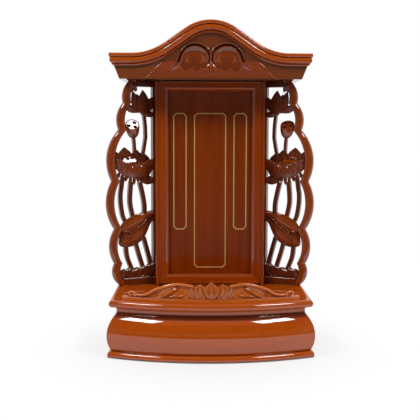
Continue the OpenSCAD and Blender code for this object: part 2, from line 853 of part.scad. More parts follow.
module scroll_eyes() {
    for (m = [0, 1]) mirror([m, 0]) translate(eye_place) circle(r = eye_r);
    petal([0, 0.78 * cloud_h], [0, 0.2 * cloud_h], 0.65 * eye_r);
}

module pediment_carving() {
    plate_t = carving_t / 2;
    color(rosewood) translate([0, 0, roof_z]) {
        slab(roof_front - plate_t, roof_front) cloud_outline();
        slab(roof_front - carving_t, roof_front - plate_t) scroll_band();
        slab(roof_front - carving_t * 0.8, roof_front - plate_t) scroll_eyes();
    }
}

module case_dowels() { upright_dowels(case_dowel_places(), base_h); }
module roof_dowels() { upright_dowels(case_dowel_places(), roof_z); }

base_bottom_board();
foot_front();
foot_left();
foot_right();
belly_front();
belly_left();
belly_right();
neck_front();
neck_left();
neck_right();
base_back_board();
corner_blocks();
base_top_board();
lotus_crest();
case_side_left();
case_side_right();
case_floor();
case_top();
case_back_board();
back_screws();
case_dowels();
door_top_rail();
door_bottom_rail();
door_stile_left();
door_stile_right();
inscription_panel();
slip_tray();
name_slip(0);  // name_slip_1
name_slip(1);  // name_slip_2
name_slip(2);  // name_slip_3
name_slip(3);  // name_slip_4
name_slip(4);  // name_slip_5
name_slip(5);  // name_slip_6
wing_left();
wing_right();
wing_dowels();
roof_soffit();
roof_front_board();
roof_back_board();
roof_end_left();
roof_end_right();
roof_deck();
roof_crown_front();
roof_crown_left();
roof_crown_right();
pediment_carving();
roof_dowels();
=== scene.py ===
"""Looks of a lacquered ancestor tablet, built round its frame."""

import math

import bpy
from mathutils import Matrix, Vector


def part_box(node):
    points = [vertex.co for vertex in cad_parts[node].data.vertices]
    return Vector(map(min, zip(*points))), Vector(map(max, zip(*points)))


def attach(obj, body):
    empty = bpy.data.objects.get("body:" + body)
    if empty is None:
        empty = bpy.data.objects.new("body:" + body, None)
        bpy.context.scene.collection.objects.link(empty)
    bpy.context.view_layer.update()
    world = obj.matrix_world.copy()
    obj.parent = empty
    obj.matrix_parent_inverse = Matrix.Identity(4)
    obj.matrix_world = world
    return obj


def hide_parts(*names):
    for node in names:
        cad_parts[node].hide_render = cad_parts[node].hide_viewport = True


bl_info = {
    "name": "Lacquered ancestor tablet",
    "version": (1, 0, 0),
    "blender": (4, 5, 0),
    "location": "View3D > Sidebar > Tablet",
    "description": "Bow-fronted base, framed door, pierced lotus wings and ogee roof round a fixed frame",
    "category": "Add Mesh",
}

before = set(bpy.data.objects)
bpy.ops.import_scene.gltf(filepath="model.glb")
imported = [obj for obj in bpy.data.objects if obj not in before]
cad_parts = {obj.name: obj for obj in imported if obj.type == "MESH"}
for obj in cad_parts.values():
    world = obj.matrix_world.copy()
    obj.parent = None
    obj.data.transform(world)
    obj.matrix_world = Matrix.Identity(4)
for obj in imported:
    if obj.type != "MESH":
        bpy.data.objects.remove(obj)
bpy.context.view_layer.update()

# Sizes in this file are in millimetres, and a mesh is in metres
MM = 0.001


def corners(node):
    """Lowest and highest corner of a node of the frame, in millimetres."""
    low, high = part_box(node)
    return [c / MM for c in low], [c / MM for c in high]


# Planes that the pieces share, read from the frame
(_, FRONT_Y, FOOT_TOP), (_, _, BELLY_TOP) = corners("belly_front")
_, (HALF_BASE, BACK_Y, _) = corners("belly_right")
(_, _, NECK_TOP), (_, _, BASE_TOP) = corners("base_top_board")
CASE_LOW, CASE_HIGH = corners("case_side_right")
DOOR_LOW, DOOR_HIGH = corners("door_stile_right")
PANEL_LOW, PANEL_HIGH = corners("inscription_panel")
(_, DECK_FRONT, _), (HALF_TIP, ROOF_BACK, PEAK_Z) = corners("roof_deck")
(_, ROOF_FRONT, ROOF_Z), _ = corners("roof_front_board")
_, (_, _, CROWN_TOP) = corners("roof_crown_right")
HALF_CASE = CASE_HIGH[0]
DOOR_HALF = DOOR_HIGH[0]
SIDES = ((-1, "left"), (1, "right"))


def number(name, about, default, low, high, **kind):
    """A number that a user may change, between two limits."""
    return bpy.props.FloatProperty(name=name, description=about, default=default, min=low, max=high, **kind)


def length(name, about, default, low, high):
    return number(name, about, default, low, high, unit="LENGTH")


def angle(name, about, *degrees):
    return number(name, about, *map(math.radians, degrees), subtype="ANGLE")


def colour(name, about, *default):
    return bpy.props.FloatVectorProperty(
        name=name, description=about, default=default, size=3, subtype="COLOR", min=0, max=1)


class TabletSizes(bpy.types.PropertyGroup):
    """Sizes that shape the dressed tablet."""

    bow_radius: length("Bow radius", "Radius of the bowed front, at the belly", 0.380, 0.33, 0.6)
    wing_angle: angle("Wing angle", "Angle by which the wings come forward", 23, 12, 28)
    wing_set: length("Wing set", "From the front of the case to a wing's front face", 0.022, 0.018, 0.026)
    wing_thickness: length("Wing thickness", "Thickness of a wing board", 0.016, 0.012, 0.018)
    rim_width: length("Rim width", "Width of the scalloped rim of a wing", 0.0125, 0.008, 0.015)
    edge_round: length("Edge round", "Rounding of the sanded edges", 0.0007, 0.0002, 0.002)
    gilt_width: length("Gilt line", "Width of the gilt lines on the panel", 0.0018, 0.0006, 0.003)


class TabletColours(bpy.types.PropertyGroup):
    """Colours of the finishes: light and dark grain of each wood, and for the carving and the crest a painted
    highlight for the ridges and painted shade for the hollows.
    """

    base_light: colour("Base, light grain", "Light grain of the base and the roof's edge", 0.52, 0.086, 0.001)
    base_dark: colour("Base, dark grain", "Dark grain of the base and the roof's edge", 0.41, 0.059, 0.001)
    case_light: colour("Case, light grain", "Light grain of the case and the door frame", 0.38, 0.060, 0.001)
    case_dark: colour("Case, dark grain", "Dark grain of the case and the door frame", 0.27, 0.036, 0.001)
    panel_light: colour("Panel, light grain", "Light grain of the panel", 0.28, 0.042, 0.001)
    panel_dark: colour("Panel, dark grain", "Dark grain of the panel", 0.18, 0.024, 0.001)
    # Painted highlight on the ridges and painted shade in the hollows of the wing and pediment carving
    carving_light: colour("Carving, ridges", "Rubbed ridges of the carving", 0.40, 0.068, 0.005)
    carving_dark: colour("Carving, hollows", "Stained hollows of the carving", 0.045, 0.006, 0.001)
    # Painted highlight on the ridges and painted shade in the hollows of the lotus crest
    crest_light: colour("Crest, ridges", "Highlighted ridges of the lotus crest", 0.76, 0.18, 0.018)
    crest_dark: colour("Crest, hollows", "Shaded hollows of the lotus crest", 0.24, 0.044, 0.004)
    roof_light: colour("Roof, light grain", "Light grain of the roof boards", 0.25, 0.054, 0.005)
    roof_dark: colour("Roof, dark grain", "Dark grain of the roof boards", 0.15, 0.028, 0.003)
    gilt: colour("Gilt", "Gilt lines on the panel", 0.75, 0.50, 0.16)


class TabletStage(bpy.types.PropertyGroup):
    """Camera and lamps."""

    focal_pixels: number("Focal length", "Focal length in pixels of a frame 420 wide", 775, 300, 2000)
    tilt: angle("Tilt", "How far the camera looks down", 5.57, -30, 30)
    roll: angle("Roll", "How far the camera leans to its left", 0.15, -10, 10)
    turn: angle("Turn", "How far the camera stands round to the left", 1.1, -90, 90)
    camera_height: length("Camera height", "Height of the camera over the floor", 0.319, 0, 5)
    camera_distance: length("Camera distance", "From the camera to the front of the case", 1.192, 0.3, 10)
    softbox_power: number("Softboxes", "Power of each of the two softboxes, in watts", 9.5, 0, 200)


# Outlines


def spread(start, end, steps):
    return [start + (end - start) * i / steps for i in range(steps + 1)]


def turns(count):
    """Angles of a full turn in even steps, in radians."""
    return [2 * math.pi * i / count for i in range(count)]


def arc(centre, radius, start, end, steps=10):
    """Points of an arc, its angles in degrees."""
    angles = [math.radians(a) for a in spread(start, end, steps)]
    return [(centre[0] + radius * math.cos(a), centre[1] + radius * math.sin(a)) for a in angles]


def bulge(p, q, rise, steps):
    """Points of an arc from p to q that stands out to the right of the way."""
    chord = math.dist(p, q)
    way = ((q[0] - p[0]) / chord, (q[1] - p[1]) / chord)
    side = (way[1], -way[0])
    radius = (chord * chord / 4 + rise * rise) / (2 * rise)
    centre = [(p[k] + q[k]) / 2 + (rise - radius) * side[k] for k in range(2)]
    half = math.asin(min(1, chord / 2 / radius))
    return [tuple(centre[k] + radius * (side[k] * math.cos(a) + way[k] * math.sin(a)) for k in range(2))
            for a in spread(-half, half, steps)]


def curve(points, steps):
    """A smooth line through points, with any further values carried along."""
    ends = [points[0], *points, points[-1]]
    line = []
    for a, b, c, d in zip(ends, ends[1:], ends[2:], ends[3:]):
        for i in range(steps):
            t = i / steps
            line.append(tuple(
                0.5 * (2 * q + (r - p) * t + (2 * p - 5 * q + 4 * r - s) * t ** 2
                       + (3 * q - p - 3 * r + s) * t ** 3)
                for p, q, r, s in zip(a, b, c, d)))
    line.append(tuple(points[-1]))
    return line


def mirrored(points, side):
    """The points of one half on either side of the middle."""
    return [(side * x, *rest) for x, *rest in points]


def rounded(low, high, radius):
    """A rectangle with rounded corners."""
    left, right = low[0] + radius, high[0] - radius
    bottom, top = low[1] + radius, high[1] - radius
    middles = [(right, bottom), (right, top), (left, top), (left, bottom)]
    return [point for k, middle in enumerate(middles) for point in arc(middle, radius, k * 90 - 90, k * 90, 4)]


# Modelling

# Edges sharper than this are sanded round, in this many steps
SANDED_ANGLE = 30
SANDED_STEPS = 2
# Edges sharper than this stay sharp in the shading, on plain pieces and on carving
CRISP_ANGLE = 35
CRISP_CARVING = 50
# Points nearer than this are one point
WELD = 1e-6


def deselect():
    bpy.ops.object.select_all(action="DESELECT")


def work_on(piece):
    deselect()
    piece.select_set(True)
    bpy.context.view_layer.objects.active = piece


def smooth(piece, sharp=CRISP_ANGLE):
    work_on(piece)
    bpy.ops.object.shade_smooth_by_angle(angle=math.radians(sharp))


def modify(piece, kind, **settings):
    modifier = piece.modifiers.new(kind.lower(), kind)
    for key, value in settings.items():
        setattr(modifier, key, value)
    bpy.ops.object.modifier_apply(modifier=modifier.name)


def soften(piece, width=None):
    """Round the sharp edges of a piece as sanding does, its faces shaded flat up to them."""
    work_on(piece)
    modify(piece, "BEVEL", width=width or bpy.context.scene.tablet_sizes.edge_round, segments=SANDED_STEPS,
           limit_method="ANGLE", angle_limit=math.radians(SANDED_ANGLE))
    smooth(piece)
    modify(piece, "WEIGHTED_NORMAL", keep_sharp=True)


def face_out(piece, sharp=CRISP_ANGLE, close=False):
    """Turn the faces of a piece outwards and shade them, its seam and ends closed first where asked."""
    work_on(piece)
    bpy.ops.object.mode_set(mode="EDIT")
    bpy.ops.mesh.select_all(action="SELECT")
    if close:
        bpy.ops.mesh.remove_doubles(threshold=WELD)
        bpy.ops.mesh.fill_holes(sides=0)
        bpy.ops.mesh.select_all(action="SELECT")
    bpy.ops.mesh.normals_make_consistent(inside=False)
    bpy.ops.object.mode_set(mode="OBJECT")
    smooth(piece, sharp)


def loft(name, rings):
    """Skin a row of closed outlines, and close its two ends."""
    deselect()
    bpy.ops.mesh.primitive_grid_add(x_subdivisions=len(rings[0]), y_subdivisions=len(rings) - 1, size=1)
    piece = bpy.context.object
    piece.name = name
    places = [c * MM for ring in rings for point in (*ring, ring[0]) for c in point]
    piece.data.vertices.foreach_set("co", places)
    face_out(piece, close=True)
    return piece


def prism(name, outline, y0, y1):
    """An outline in the upright plane, carried from one depth to another."""
    return loft(name, [[(x, y, z) for x, z in outline] for y in (y0, y1)])


def board(name, low, high):
    """A sanded board between two corners."""
    deselect()
    middle = [(a + b) / 2 * MM for a, b in zip(low, high)]
    bpy.ops.mesh.primitive_cube_add(size=1, location=middle)
    piece = bpy.context.object
    piece.name = name
    piece.scale = [(b - a) * MM for a, b in zip(low, high)]
    bpy.ops.object.transform_apply(location=True, rotation=True, scale=True)
    soften(piece)
    return piece


def paint_over(piece, finish):
    piece.data.materials.clear()
    piece.data.materials.append(finish)


def dress(piece, finish, body, slot, *nodes):
    """Give a piece its finish, its body and the nodes that it stands for."""
    paint_over(piece, finish)
    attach(piece, body)
    if nodes:
        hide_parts(*nodes)


# Carving

# Bead along the edge of a leaf, as shares of its half width, and the half width of full relief
BEAD_AT = 0.88
BEAD_WIDE = 0.09
FULL_RELIEF = 4.0
# Painted shade of a leaf: how much of its tone it keeps between its veins and on its back
VALLEY_TONE = 0.35
BACK_TONE = 0.4
# Steps across a leaf, and from point to point along a leaf or a band
LEAF_ACROSS = 32
LEAF_STEPS = 4
BAND_STEPS = 5
# Least half width of a leaf
LEAF_TIP = 0.15
# Half width of a petal as (share of its length, share of its width)
PETAL_SWELL = [(0, 0.42), (0.22, 0.80), (0.48, 1), (0.72, 0.80), (0.9, 0.36), (1, 0.02)]
# Cup of a seed pod as (share of the way to its foot, share of its radius), and its lip as (share, height)
POD_SIDES = 64
POD_CUP = [(1, 0.25), (0.93, 0.5), (0.78, 0.75), (0.55, 0.92), (0.3, 1), (0.1, 1.02)]
POD_LIP = [(1, 0.4), (0.95, 0.8), (0.9, 0.7), (0.87, 0.4)]
# Height of the face inside the lip, and the pits of the seeds in it
POD_FACE = 0.4
PIT_DEEP = 3.6
PIT_WIDE = 0.25


class Carving:
    """Closed shells that together make one carved piece, in (across, depth, up)."""

    def __init__(self):
        self.points = []
        self.faces = []
        self.tones = []
        # Painted shade of the shells being added, 1 for none, written to the mesh as its tone attribute
        self.tone = 1.0

    def skin(self, rings, loop=False, tones=None):
        """Close a row of rings into one shell, or join the last ring to the first."""
        start = len(self.points)
        count = len(rings[0])
        for ring in rings:
            self.points.extend(ring)
            self.tones.extend(self.tone * t for t in tones or [1.0] * count)
        last = len(rings) - 1
        for k in range(len(rings) if loop else last):
            here = start + k * count
            there = start + ((k + 1) % len(rings)) * count
            for i in range(count):
                j = (i + 1) % count
                self.faces.append((here + i, here + j, there + j, there + i))
        if not loop:
            self.faces.append(tuple(range(start, start + count)))
            self.faces.append(tuple(range(start + last * count, start + (last + 1) * count)))

    def leaf(self, spine, depth, cup=1.5, arch=0.0, thick=2.5, veins=6, vein=0.35, bead=0.45):
        """A veined leaf with a beaded edge, along a spine of (across, up, half width)."""
        line = curve(spine, LEAF_STEPS)
        shares = spread(-1, 1, LEAF_ACROSS)
        ridges = [(0.5 + 0.5 * math.cos(math.pi * veins * t)) if vein else 1.0 for t in shares]
        edges = [math.exp(-((abs(t) - BEAD_AT) / BEAD_WIDE) ** 2) for t in shares]
        rings = []
        for k, (u, v, half) in enumerate(line):
            side = self.beside(line, k)
            middle = depth - arch * math.sin(math.pi * k / (len(line) - 1))
            half = max(half, LEAF_TIP)
            relief = min(1, half / FULL_RELIEF)
            front = []
            back = []
            for t, ridge, edge in zip(shares, ridges, edges):
                level = middle + cup * t * t
                raised = (2 * ridge - 1) * vein * (1 - t * t) + bead * edge
                place = (u + side[0] * half * t, v + side[1] * half * t)
                front.append((place[0], level - raised * relief, place[1]))
                if abs(t) < 0.999:
                    back.append((place[0], level + thick * math.sqrt(1 - t * t), place[1]))
            rings.append(front + back[::-1])
        # Painted shade between the veins and on the back of the leaf
        tones = [VALLEY_TONE + (1 - VALLEY_TONE) * min(1, ridge * (1 - t * t) + edge)
                 for t, ridge, edge in zip(shares, ridges, edges)]
        self.skin(rings, tones=tones + [BACK_TONE] * (len(rings[0]) - len(tones)))

    @staticmethod
    def beside(line, k):
        """Direction across a line at one of its points."""
        ahead = line[min(k + 1, len(line) - 1)]
        behind = line[max(k - 1, 0)]
        du = ahead[0] - behind[0]
        dv = ahead[1] - behind[1]
        size = math.hypot(du, dv) or 1
        return dv / size, -du / size

    def petals(self, rows, **shape):
        """Pointed petals, each with its root, its tip, its width and its depth."""
        for root, tip, width, depth in rows:
            spine = [(root[0] + (tip[0] - root[0]) * share, root[1] + (tip[1] - root[1]) * share,
                      width / 2 * swell) for share, swell in PETAL_SWELL]
            self.leaf(spine, depth, **shape)

    def stem(self, points, depth, wide, deep, corner=1.1):
        """A flat-sided stem through points, with rounded edges."""
        self.bands(points, depth, rounded((-wide, -deep), (wide, deep), corner))

    def bands(self, points, depth, section, tones=None):
        """A moulded band: its section is (across, towards the viewer) and takes the point's scale."""
        line = curve(points, BAND_STEPS)
        rings = []
        for k, point in enumerate(line):
            side = self.beside(line, k)
            scale = point[2] if len(point) > 2 else 1
            rings.append([(point[0] + side[0] * a * scale, depth - b * scale, point[1] + side[1] * a * scale)
                          for a, b in section])
        self.skin(rings, tones=tones)

    def dome(self, centre, radius, depth, rise, sides=20):
        """A low round boss on a face."""
        levels = [(1.0, -0.6)] + [(r, rise * (1 - r * r)) for r in spread(1, 0.05, 5)]
        self.skin([[(centre[0] + radius * r * math.cos(a), depth - h, centre[1] + radius * r * math.sin(a))
                    for a in turns(sides)] for r, h in levels])

    def pod(self, centre, radius, depth, tilt, foot, seeds, squash):
        """A seed pod: a cup that ends in a tilted oval face with its seeds."""
        c, s = math.cos(math.radians(tilt)), math.sin(math.radians(tilt))

        def on_face(a, b, out):
            return centre[0] + a, depth + b * squash * s - out * c, centre[1] + b * squash * c + out * s

        def ring(r, out, sink=0.0):
            drop = [(f - m) * sink for f, m in zip(foot, on_face(0, 0, out))]
            edge = [on_face(r * math.cos(a), r * math.sin(a), out) for a in turns(POD_SIDES)]
            return [tuple(p + d for p, d in zip(point, drop)) for point in edge]

        cup = [ring(radius * f, 0, d) for d, f in POD_CUP]
        face = [ring(radius * f, h) for f, h in POD_LIP]
        pit = PIT_WIDE * radius
        for f in spread(0.84, 0.02, 20):
            points = []
            for a in turns(POD_SIDES):
                x, y = radius * f * math.cos(a), radius * f * math.sin(a)
                near = min(math.hypot(x - p * radius, y - q * radius) for p, q in seeds) / pit
                points.append(on_face(x, y, POD_FACE - PIT_DEEP * max(0, 1 - near ** 4)))
            face.append(points)
        self.skin(cup + face)

    def build(self, name, place=lambda *point: point):
        """Make the mesh, each point set in the frame by "place"."""
        mesh = bpy.data.meshes.new(name)
        mesh.from_pydata([[c * MM for c in place(*p)] for p in self.points], [], self.faces)
        mesh.attributes.new("tone", "FLOAT", "POINT").data.foreach_set("value", self.tones)
        piece = bpy.data.objects.new(name, mesh)
        bpy.context.collection.objects.link(piece)
        face_out(piece, CRISP_CARVING)
        return piece


# Finishes


class Link:
    """A socket of a finish, so that shader maths reads as plain sums."""

    def __init__(self, shader, socket):
        self.shader = shader
        self.socket = socket

    def maths(self, operation, first, second):
        return self.shader.node("ShaderNodeMath", {"operation": operation}, {0: first, 1: second})

    def __add__(self, other):
        return self.maths("ADD", self, other)

    __radd__ = __add__

    def __sub__(self, other):
        return self.maths("SUBTRACT", self, other)

    def __rsub__(self, other):
        return self.maths("SUBTRACT", other, self)

    def __mul__(self, other):
        return self.maths("MULTIPLY", self, other)

    __rmul__ = __mul__


class Shader:
    """The node tree of a finish or of the world."""

    def __init__(self, tree):
        self.tree = tree
        tree.nodes.clear()

    def node(self, kind, settings=None, inputs=None, out=0):
        node = self.tree.nodes.new(kind)
        for key, value in (settings or {}).items():
            setattr(node, key, value)
        for key, value in (inputs or {}).items():
            if isinstance(value, Link):
                self.tree.links.new(value.socket, node.inputs[key])
            else:
                node.inputs[key].default_value = value
        return Link(self, node.outputs[out]) if node.outputs else node

    def mix(self, first, second, factor):
        return self.node("ShaderNodeMix", {"data_type": "RGBA"}, {0: factor, 6: first, 7: second}, 2)

    def ramp(self, value, low, high):
        return self.node("ShaderNodeMapRange", {"interpolation_type": "SMOOTHSTEP"},
                         {"Value": value, "From Min": low, "From Max": high})

    def rays(self, kind):
        return self.node("ShaderNodeLightPath", out=kind)

    def noise(self, place, scale, detail):
        return self.node("ShaderNodeTexNoise", {}, {
            "Vector": place, "Scale": scale, "Detail": detail, "Roughness": 0.55})

    def place(self, kind="Object"):
        return self.node("ShaderNodeTexCoord", out=kind)

    def part(self, vector, axis):
        return self.node("ShaderNodeSeparateXYZ", {}, {"Vector": vector}, axis)

    def open_air(self, distance, alone):
        """How open a surface lies, among its own mesh alone or among all."""
        return self.node("ShaderNodeAmbientOcclusion", {"only_local": alone, "samples": 16},
                         {"Distance": distance}, "AO")

    def bump(self, height, strength, distance):
        return self.node("ShaderNodeBump", {}, {"Strength": strength, "Distance": distance, "Height": height})

    def grain(self, axis, along, across, detail, shift):
        """Noise in object coordinates, stretched along the grain."""
        scale = [along if name == axis else across for name in "XYZ"]
        place = self.node("ShaderNodeMapping", {}, {
            "Vector": self.place(), "Scale": scale, "Location": (shift, shift * 2, shift * 3)})
        return self.noise(place, 1.0, detail)


def rgba(colour, share=1.0):
    return (*(c * share for c in colour), 1.0)


def grey(level):
    return rgba((level, level, level))


FINISHES = {}
# Coat roughness of the lacquer, and the roughness from which it is called satin
GLOSS = 0.045
SATIN = 0.12
# Height over which the painted shadow under the top board's nose fades out, in metres
PAINTED_SHADOW_FADE = 0.0022


def finish(name, paint):
    """The finish of this name, painted the first time that it is asked for."""
    if name not in FINISHES:
        material = bpy.data.materials.new(name)
        material.use_nodes = True
        shader = Shader(material.node_tree)
        shader.node("ShaderNodeOutputMaterial", {}, {"Surface": paint(shader)})
        FINISHES[name] = material
    return FINISHES[name]


def lacquer(kind, axis, hollows=False, polish=GLOSS, stain=None):
    """Rosewood under lacquer: figure, fine streaks and pores along the grain, painted shade in crevices, and a
    painted shadow between two heights where asked; on carving, painted shade in hollows and painted highlight
    on ridges.
    """
    colours = bpy.context.scene.tablet_colours
    light = getattr(colours, f"{kind}_light")
    dark = getattr(colours, f"{kind}_dark")

    def paint(shader):
        figure = shader.ramp(shader.grain(axis, 3.0, 38.0, 3.0, 0), 0.3, 0.7)
        streaks = shader.ramp(shader.grain(axis, 9.0, 330.0, 4.0, 5), 0.25, 0.75)
        pores = shader.ramp(shader.grain(axis, 45.0, 1150.0, 2.0, 9), 0.58, 0.72)
        blend = figure * 0.55 + streaks * 0.45
        # Painted shade and highlight: darker in hollows and in shells of low tone, lighter on sharp ridges
        if hollows:
            ridge = shader.ramp(shader.node("ShaderNodeNewGeometry", out="Pointiness"), 0.42, 0.56)
            clear = shader.ramp(shader.open_air(0.009, True), 0.35, 0.95)
            tone = shader.node("ShaderNodeAttribute", {"attribute_name": "tone"}, out="Fac")
            blend = (ridge * 0.3 + clear * 0.4 + blend * 0.3) * tone
        colour = shader.mix(rgba(dark), rgba(light), blend)
        colour = shader.mix(colour, rgba(dark, 0.45), pores * 0.45)
        # Painted shade: darker in corners and crevices, the more closed in by other pieces the surface lies
        if not hollows:
            clear = shader.ramp(shader.open_air(0.014, False), 0.3, 0.72)
            colour = shader.mix(rgba(dark, 0.25), colour, clear)
        # Painted shadow: a dark band between two heights, where the top board's nose shades the belly and the
        # neck
        if stain:
            low, high = (z * MM for z in stain)
            height = shader.part(shader.place(), "Z")
            depth = shader.ramp(height, low - PAINTED_SHADOW_FADE, low) - shader.ramp(height, high, high + PAINTED_SHADOW_FADE)
            colour = shader.mix(colour, rgba(dark, 0.4), depth)
        return shader.node("ShaderNodeBsdfPrincipled", {}, {
            "Base Color": colour, "Roughness": 0.5, "Specular IOR Level": 0.0, "Coat Weight": 1.0,
            "Coat Roughness": polish, "Coat IOR": 1.7,
            "Normal": shader.bump(streaks * 0.6 - pores, 0.06, 0.0002)})

    name = f"{kind}_lacquer_{axis.lower()}"
    return finish(name + ("_stained" if stain else "") + ("_satin" if polish >= SATIN else ""), paint)


def bare_wood(axis):
    """Plain unpolished wood of the hidden boards and the slips."""

    def paint(shader):
        rings = shader.ramp(shader.grain(axis, 2.5, 60.0, 5.0, 3), 0.3, 0.7)
        fibres = shader.grain(axis, 14.0, 700.0, 3.0, 7)
        colour = shader.mix(rgba((0.36, 0.20, 0.085)), rgba((0.55, 0.35, 0.17)), rings)
        colour = shader.mix(colour, rgba((0.24, 0.12, 0.05)), shader.ramp(fibres, 0.6, 0.75) * 0.5)
        return shader.node("ShaderNodeBsdfPrincipled", {}, {
            "Base Color": colour, "Roughness": 0.55 + fibres * 0.2,
            "Normal": shader.bump(fibres, 0.3, 0.0002)})

    return finish(f"bare_wood_{axis.lower()}", paint)


def metal(name, colour, dull, rough, metallic=1.0):
    """Gold paint or brass, a little uneven, with this share of its colour where it is dull."""

    def paint(shader):
        place = shader.place()
        patches = shader.ramp(shader.noise(place, 260.0, 3.0), 0.35, 0.7)
        brushed = shader.noise(place, 1900.0, 2.0)
        tone = shader.mix(rgba(colour), rgba(colour, dull), patches * 0.5)
        return shader.node("ShaderNodeBsdfPrincipled", {}, {
            "Base Color": tone, "Metallic": metallic, "Roughness": rough + patches * 0.12,
            "Normal": shader.bump(brushed, 0.15, 0.0001)})

    return finish(name, paint)


# Base

BASE_WALL = 26
FOOT_IN = 0.6
TOP_IN = 3.2
BELLY_CREST = 22
BELLY_LOW_IN = 6
NECK_IN = 12.5
NECK_HOLLOW_R = 6
NECK_HOLLOW_ANGLE = 43
NECK_COVE_R = 4.5
# How far the painted shadow of the top board's nose reaches below and above the top of the belly
PAINTED_SHADOW_BELOW = 2.2
PAINTED_SHADOW_ABOVE = 2.6
BOW_STEPS = 48


def bow_radius():
    return bpy.context.scene.tablet_sizes.bow_radius / MM


def bow_point(out, share):
    """A point of the bowed front, "out" from the belly line and at a share of its half."""
    radius = bow_radius() + out
    angle = share * math.asin((HALF_BASE + out) / radius)
    return radius * math.sin(angle), FRONT_Y + bow_radius() - radius * math.cos(angle)


def draw_radius(height, draw):
    return (height * height + draw * draw) / (2 * draw)


def foot_profile():
    return ([(-BASE_WALL, 0)] + arc((-FOOT_IN - 3.5, 3.5), 3.5, -90, 0)
            + arc((-FOOT_IN - 6, FOOT_TOP - 6), 6, 0, 90) + [(-BASE_WALL, FOOT_TOP)])


def belly_profile():
    crest = FOOT_TOP + BELLY_CREST
    high = BELLY_TOP - crest
    low_r = draw_radius(BELLY_CREST, BELLY_LOW_IN)
    high_r = draw_radius(high, NECK_IN)
    low_angle = math.degrees(math.asin(BELLY_CREST / low_r))
    high_angle = math.degrees(math.asin(high / high_r))
    return ([(-BASE_WALL, FOOT_TOP)] + arc((-low_r, crest), low_r, -low_angle, 0, 14)
            + arc((-high_r, crest), high_r, 0, high_angle, 18)[1:] + [(-BASE_WALL, BELLY_TOP)])


def neck_profile():
    """A hollow that rises from the belly, and a cove under the top board."""
    drop = math.radians(NECK_HOLLOW_ANGLE)
    wall = NECK_IN + NECK_HOLLOW_R * (1 - math.cos(drop))
    hollow = (NECK_HOLLOW_R - wall, BELLY_TOP + NECK_HOLLOW_R * math.sin(drop))
    cove = (NECK_COVE_R - wall, NECK_TOP - NECK_COVE_R)
    return ([(-BASE_WALL, BELLY_TOP)] + arc(hollow, NECK_HOLLOW_R, 180 + NECK_HOLLOW_ANGLE, 180)
            + arc(cove, NECK_COVE_R, 180, 90) + [(-BASE_WALL, NECK_TOP)])


class TABLET_OT_base_mouldings(bpy.types.Operator):
    """Foot, belly and neck: a bowed front and two mitred sides each"""

    bl_idname = "tablet.base_mouldings"
    bl_label = "Base mouldings"

    def execute(self, context):
        profiles = {"foot": foot_profile(), "belly": belly_profile(), "neck": neck_profile()}
        # Painted shadow of the top board's nose on the top of the belly and on the neck
        stain = (BELLY_TOP - PAINTED_SHADOW_BELOW, BELLY_TOP + PAINTED_SHADOW_ABOVE)
        for kind, profile in profiles.items():
            front = loft(f"{kind}_front_moulding", [[(*bow_point(e, s), z) for e, z in profile]
                                                    for s in spread(-1, 1, BOW_STEPS)])
            dress(front, lacquer("base", "X", stain=stain), "tablet", "base_lacquer", f"{kind}_front")
            for side, name in SIDES:
                ends = [(*bow_point(e, 1), z) for e, z in profile]
                rings = [[(side * x, y + (BACK_Y - y) * share, z) for x, y, z in ends]
                         for share in spread(0, 1, 6)]
                piece = loft(f"{kind}_{name}_moulding", rings)
                dress(piece, lacquer("base", "Y", stain=stain), "tablet", "base_lacquer", f"{kind}_{name}")
        return {"FINISHED"}


class TABLET_OT_base_boards(bpy.types.Operator):
    """Bull-nosed top board, and the back board of the base"""

    bl_idname = "tablet.base_boards"
    bl_label = "Base boards"

    def execute(self, context):
        nose = (BASE_TOP - NECK_TOP) / 2
        edge = arc((-TOP_IN - nose, NECK_TOP + nose), nose, -90, 90, 16)
        edge = [(edge[0][0] - 1, NECK_TOP)] + edge + [(edge[-1][0] - 1, BASE_TOP)]
        rings = []
        for e, z in edge:
            front = [bow_point(e, s) for s in spread(-1, 1, BOW_STEPS)]
            plan = [(front[0][0], BACK_Y)] + front + [(front[-1][0], BACK_Y)]
            rings.append([(x, y, z) for x, y in plan])
        top = loft("base_top", rings)
        dress(top, lacquer("base", "X"), "tablet", "base_lacquer", "base_top_board")
        back = board("base_back", *corners("base_back_board"))
        dress(back, lacquer("case", "X"), "tablet", "case_lacquer", "base_back_board")
        return {"FINISHED"}


# Lotus crest

CREST_IN = 17
CREST_HALF = 127.5
# Section of the strip under the arms as (depth, up)
STRIP = [(0.2, 0), (0.2, 1.2), (0.9, 1.6), (0.9, 2.6), (1.7, 3.0), (1.7, 4.2), (8.6, 4.2), (8.6, 0)]
# Top edge of one arm of the crest, from the lotus out, and the ridge along it with its scale
ARM_TOP = [(0, 22), (27, 22.6), (36, 24.6), (46, 25.4), (58, 24.2), (65, 22.4), (75, 18.8), (82, 15.6),
           (90, 10.2), (98, 8.2), (104, 8), (112, 8.4)]
ARM_RIDGE = [(26, 22.2, 1), (36, 24, 1), (46, 24.8, 1), (58, 23.4, 1), (65, 21.6, 1), (75, 18, 1),
             (82, 14.8, 0.95), (90, 9.6, 0.9), (98, 7.4, 0.85), (104, 7.4, 0.85), (110, 10.2, 0.85),
             (114.5, 11.4, 0.8), (117.5, 9.2, 0.75), (115, 6.4, 0.65), (112.5, 7.6, 0.5)]
ARM_LEAF = [(46, 19.6, 1), (53, 19.2, 3.2), (61, 16.6, 5), (68, 12.8, 5.8), (74, 9, 4.6), (78.5, 6, 1.6)]
ARM_CURL = [(60, 6.2, 1), (52, 8, 1), (45, 7.6, 1), (39.5, 9.2, 0.95), (38, 12.4, 0.9), (41, 14.6, 0.8),
            (45, 13.4, 0.7), (44, 11, 0.6)]
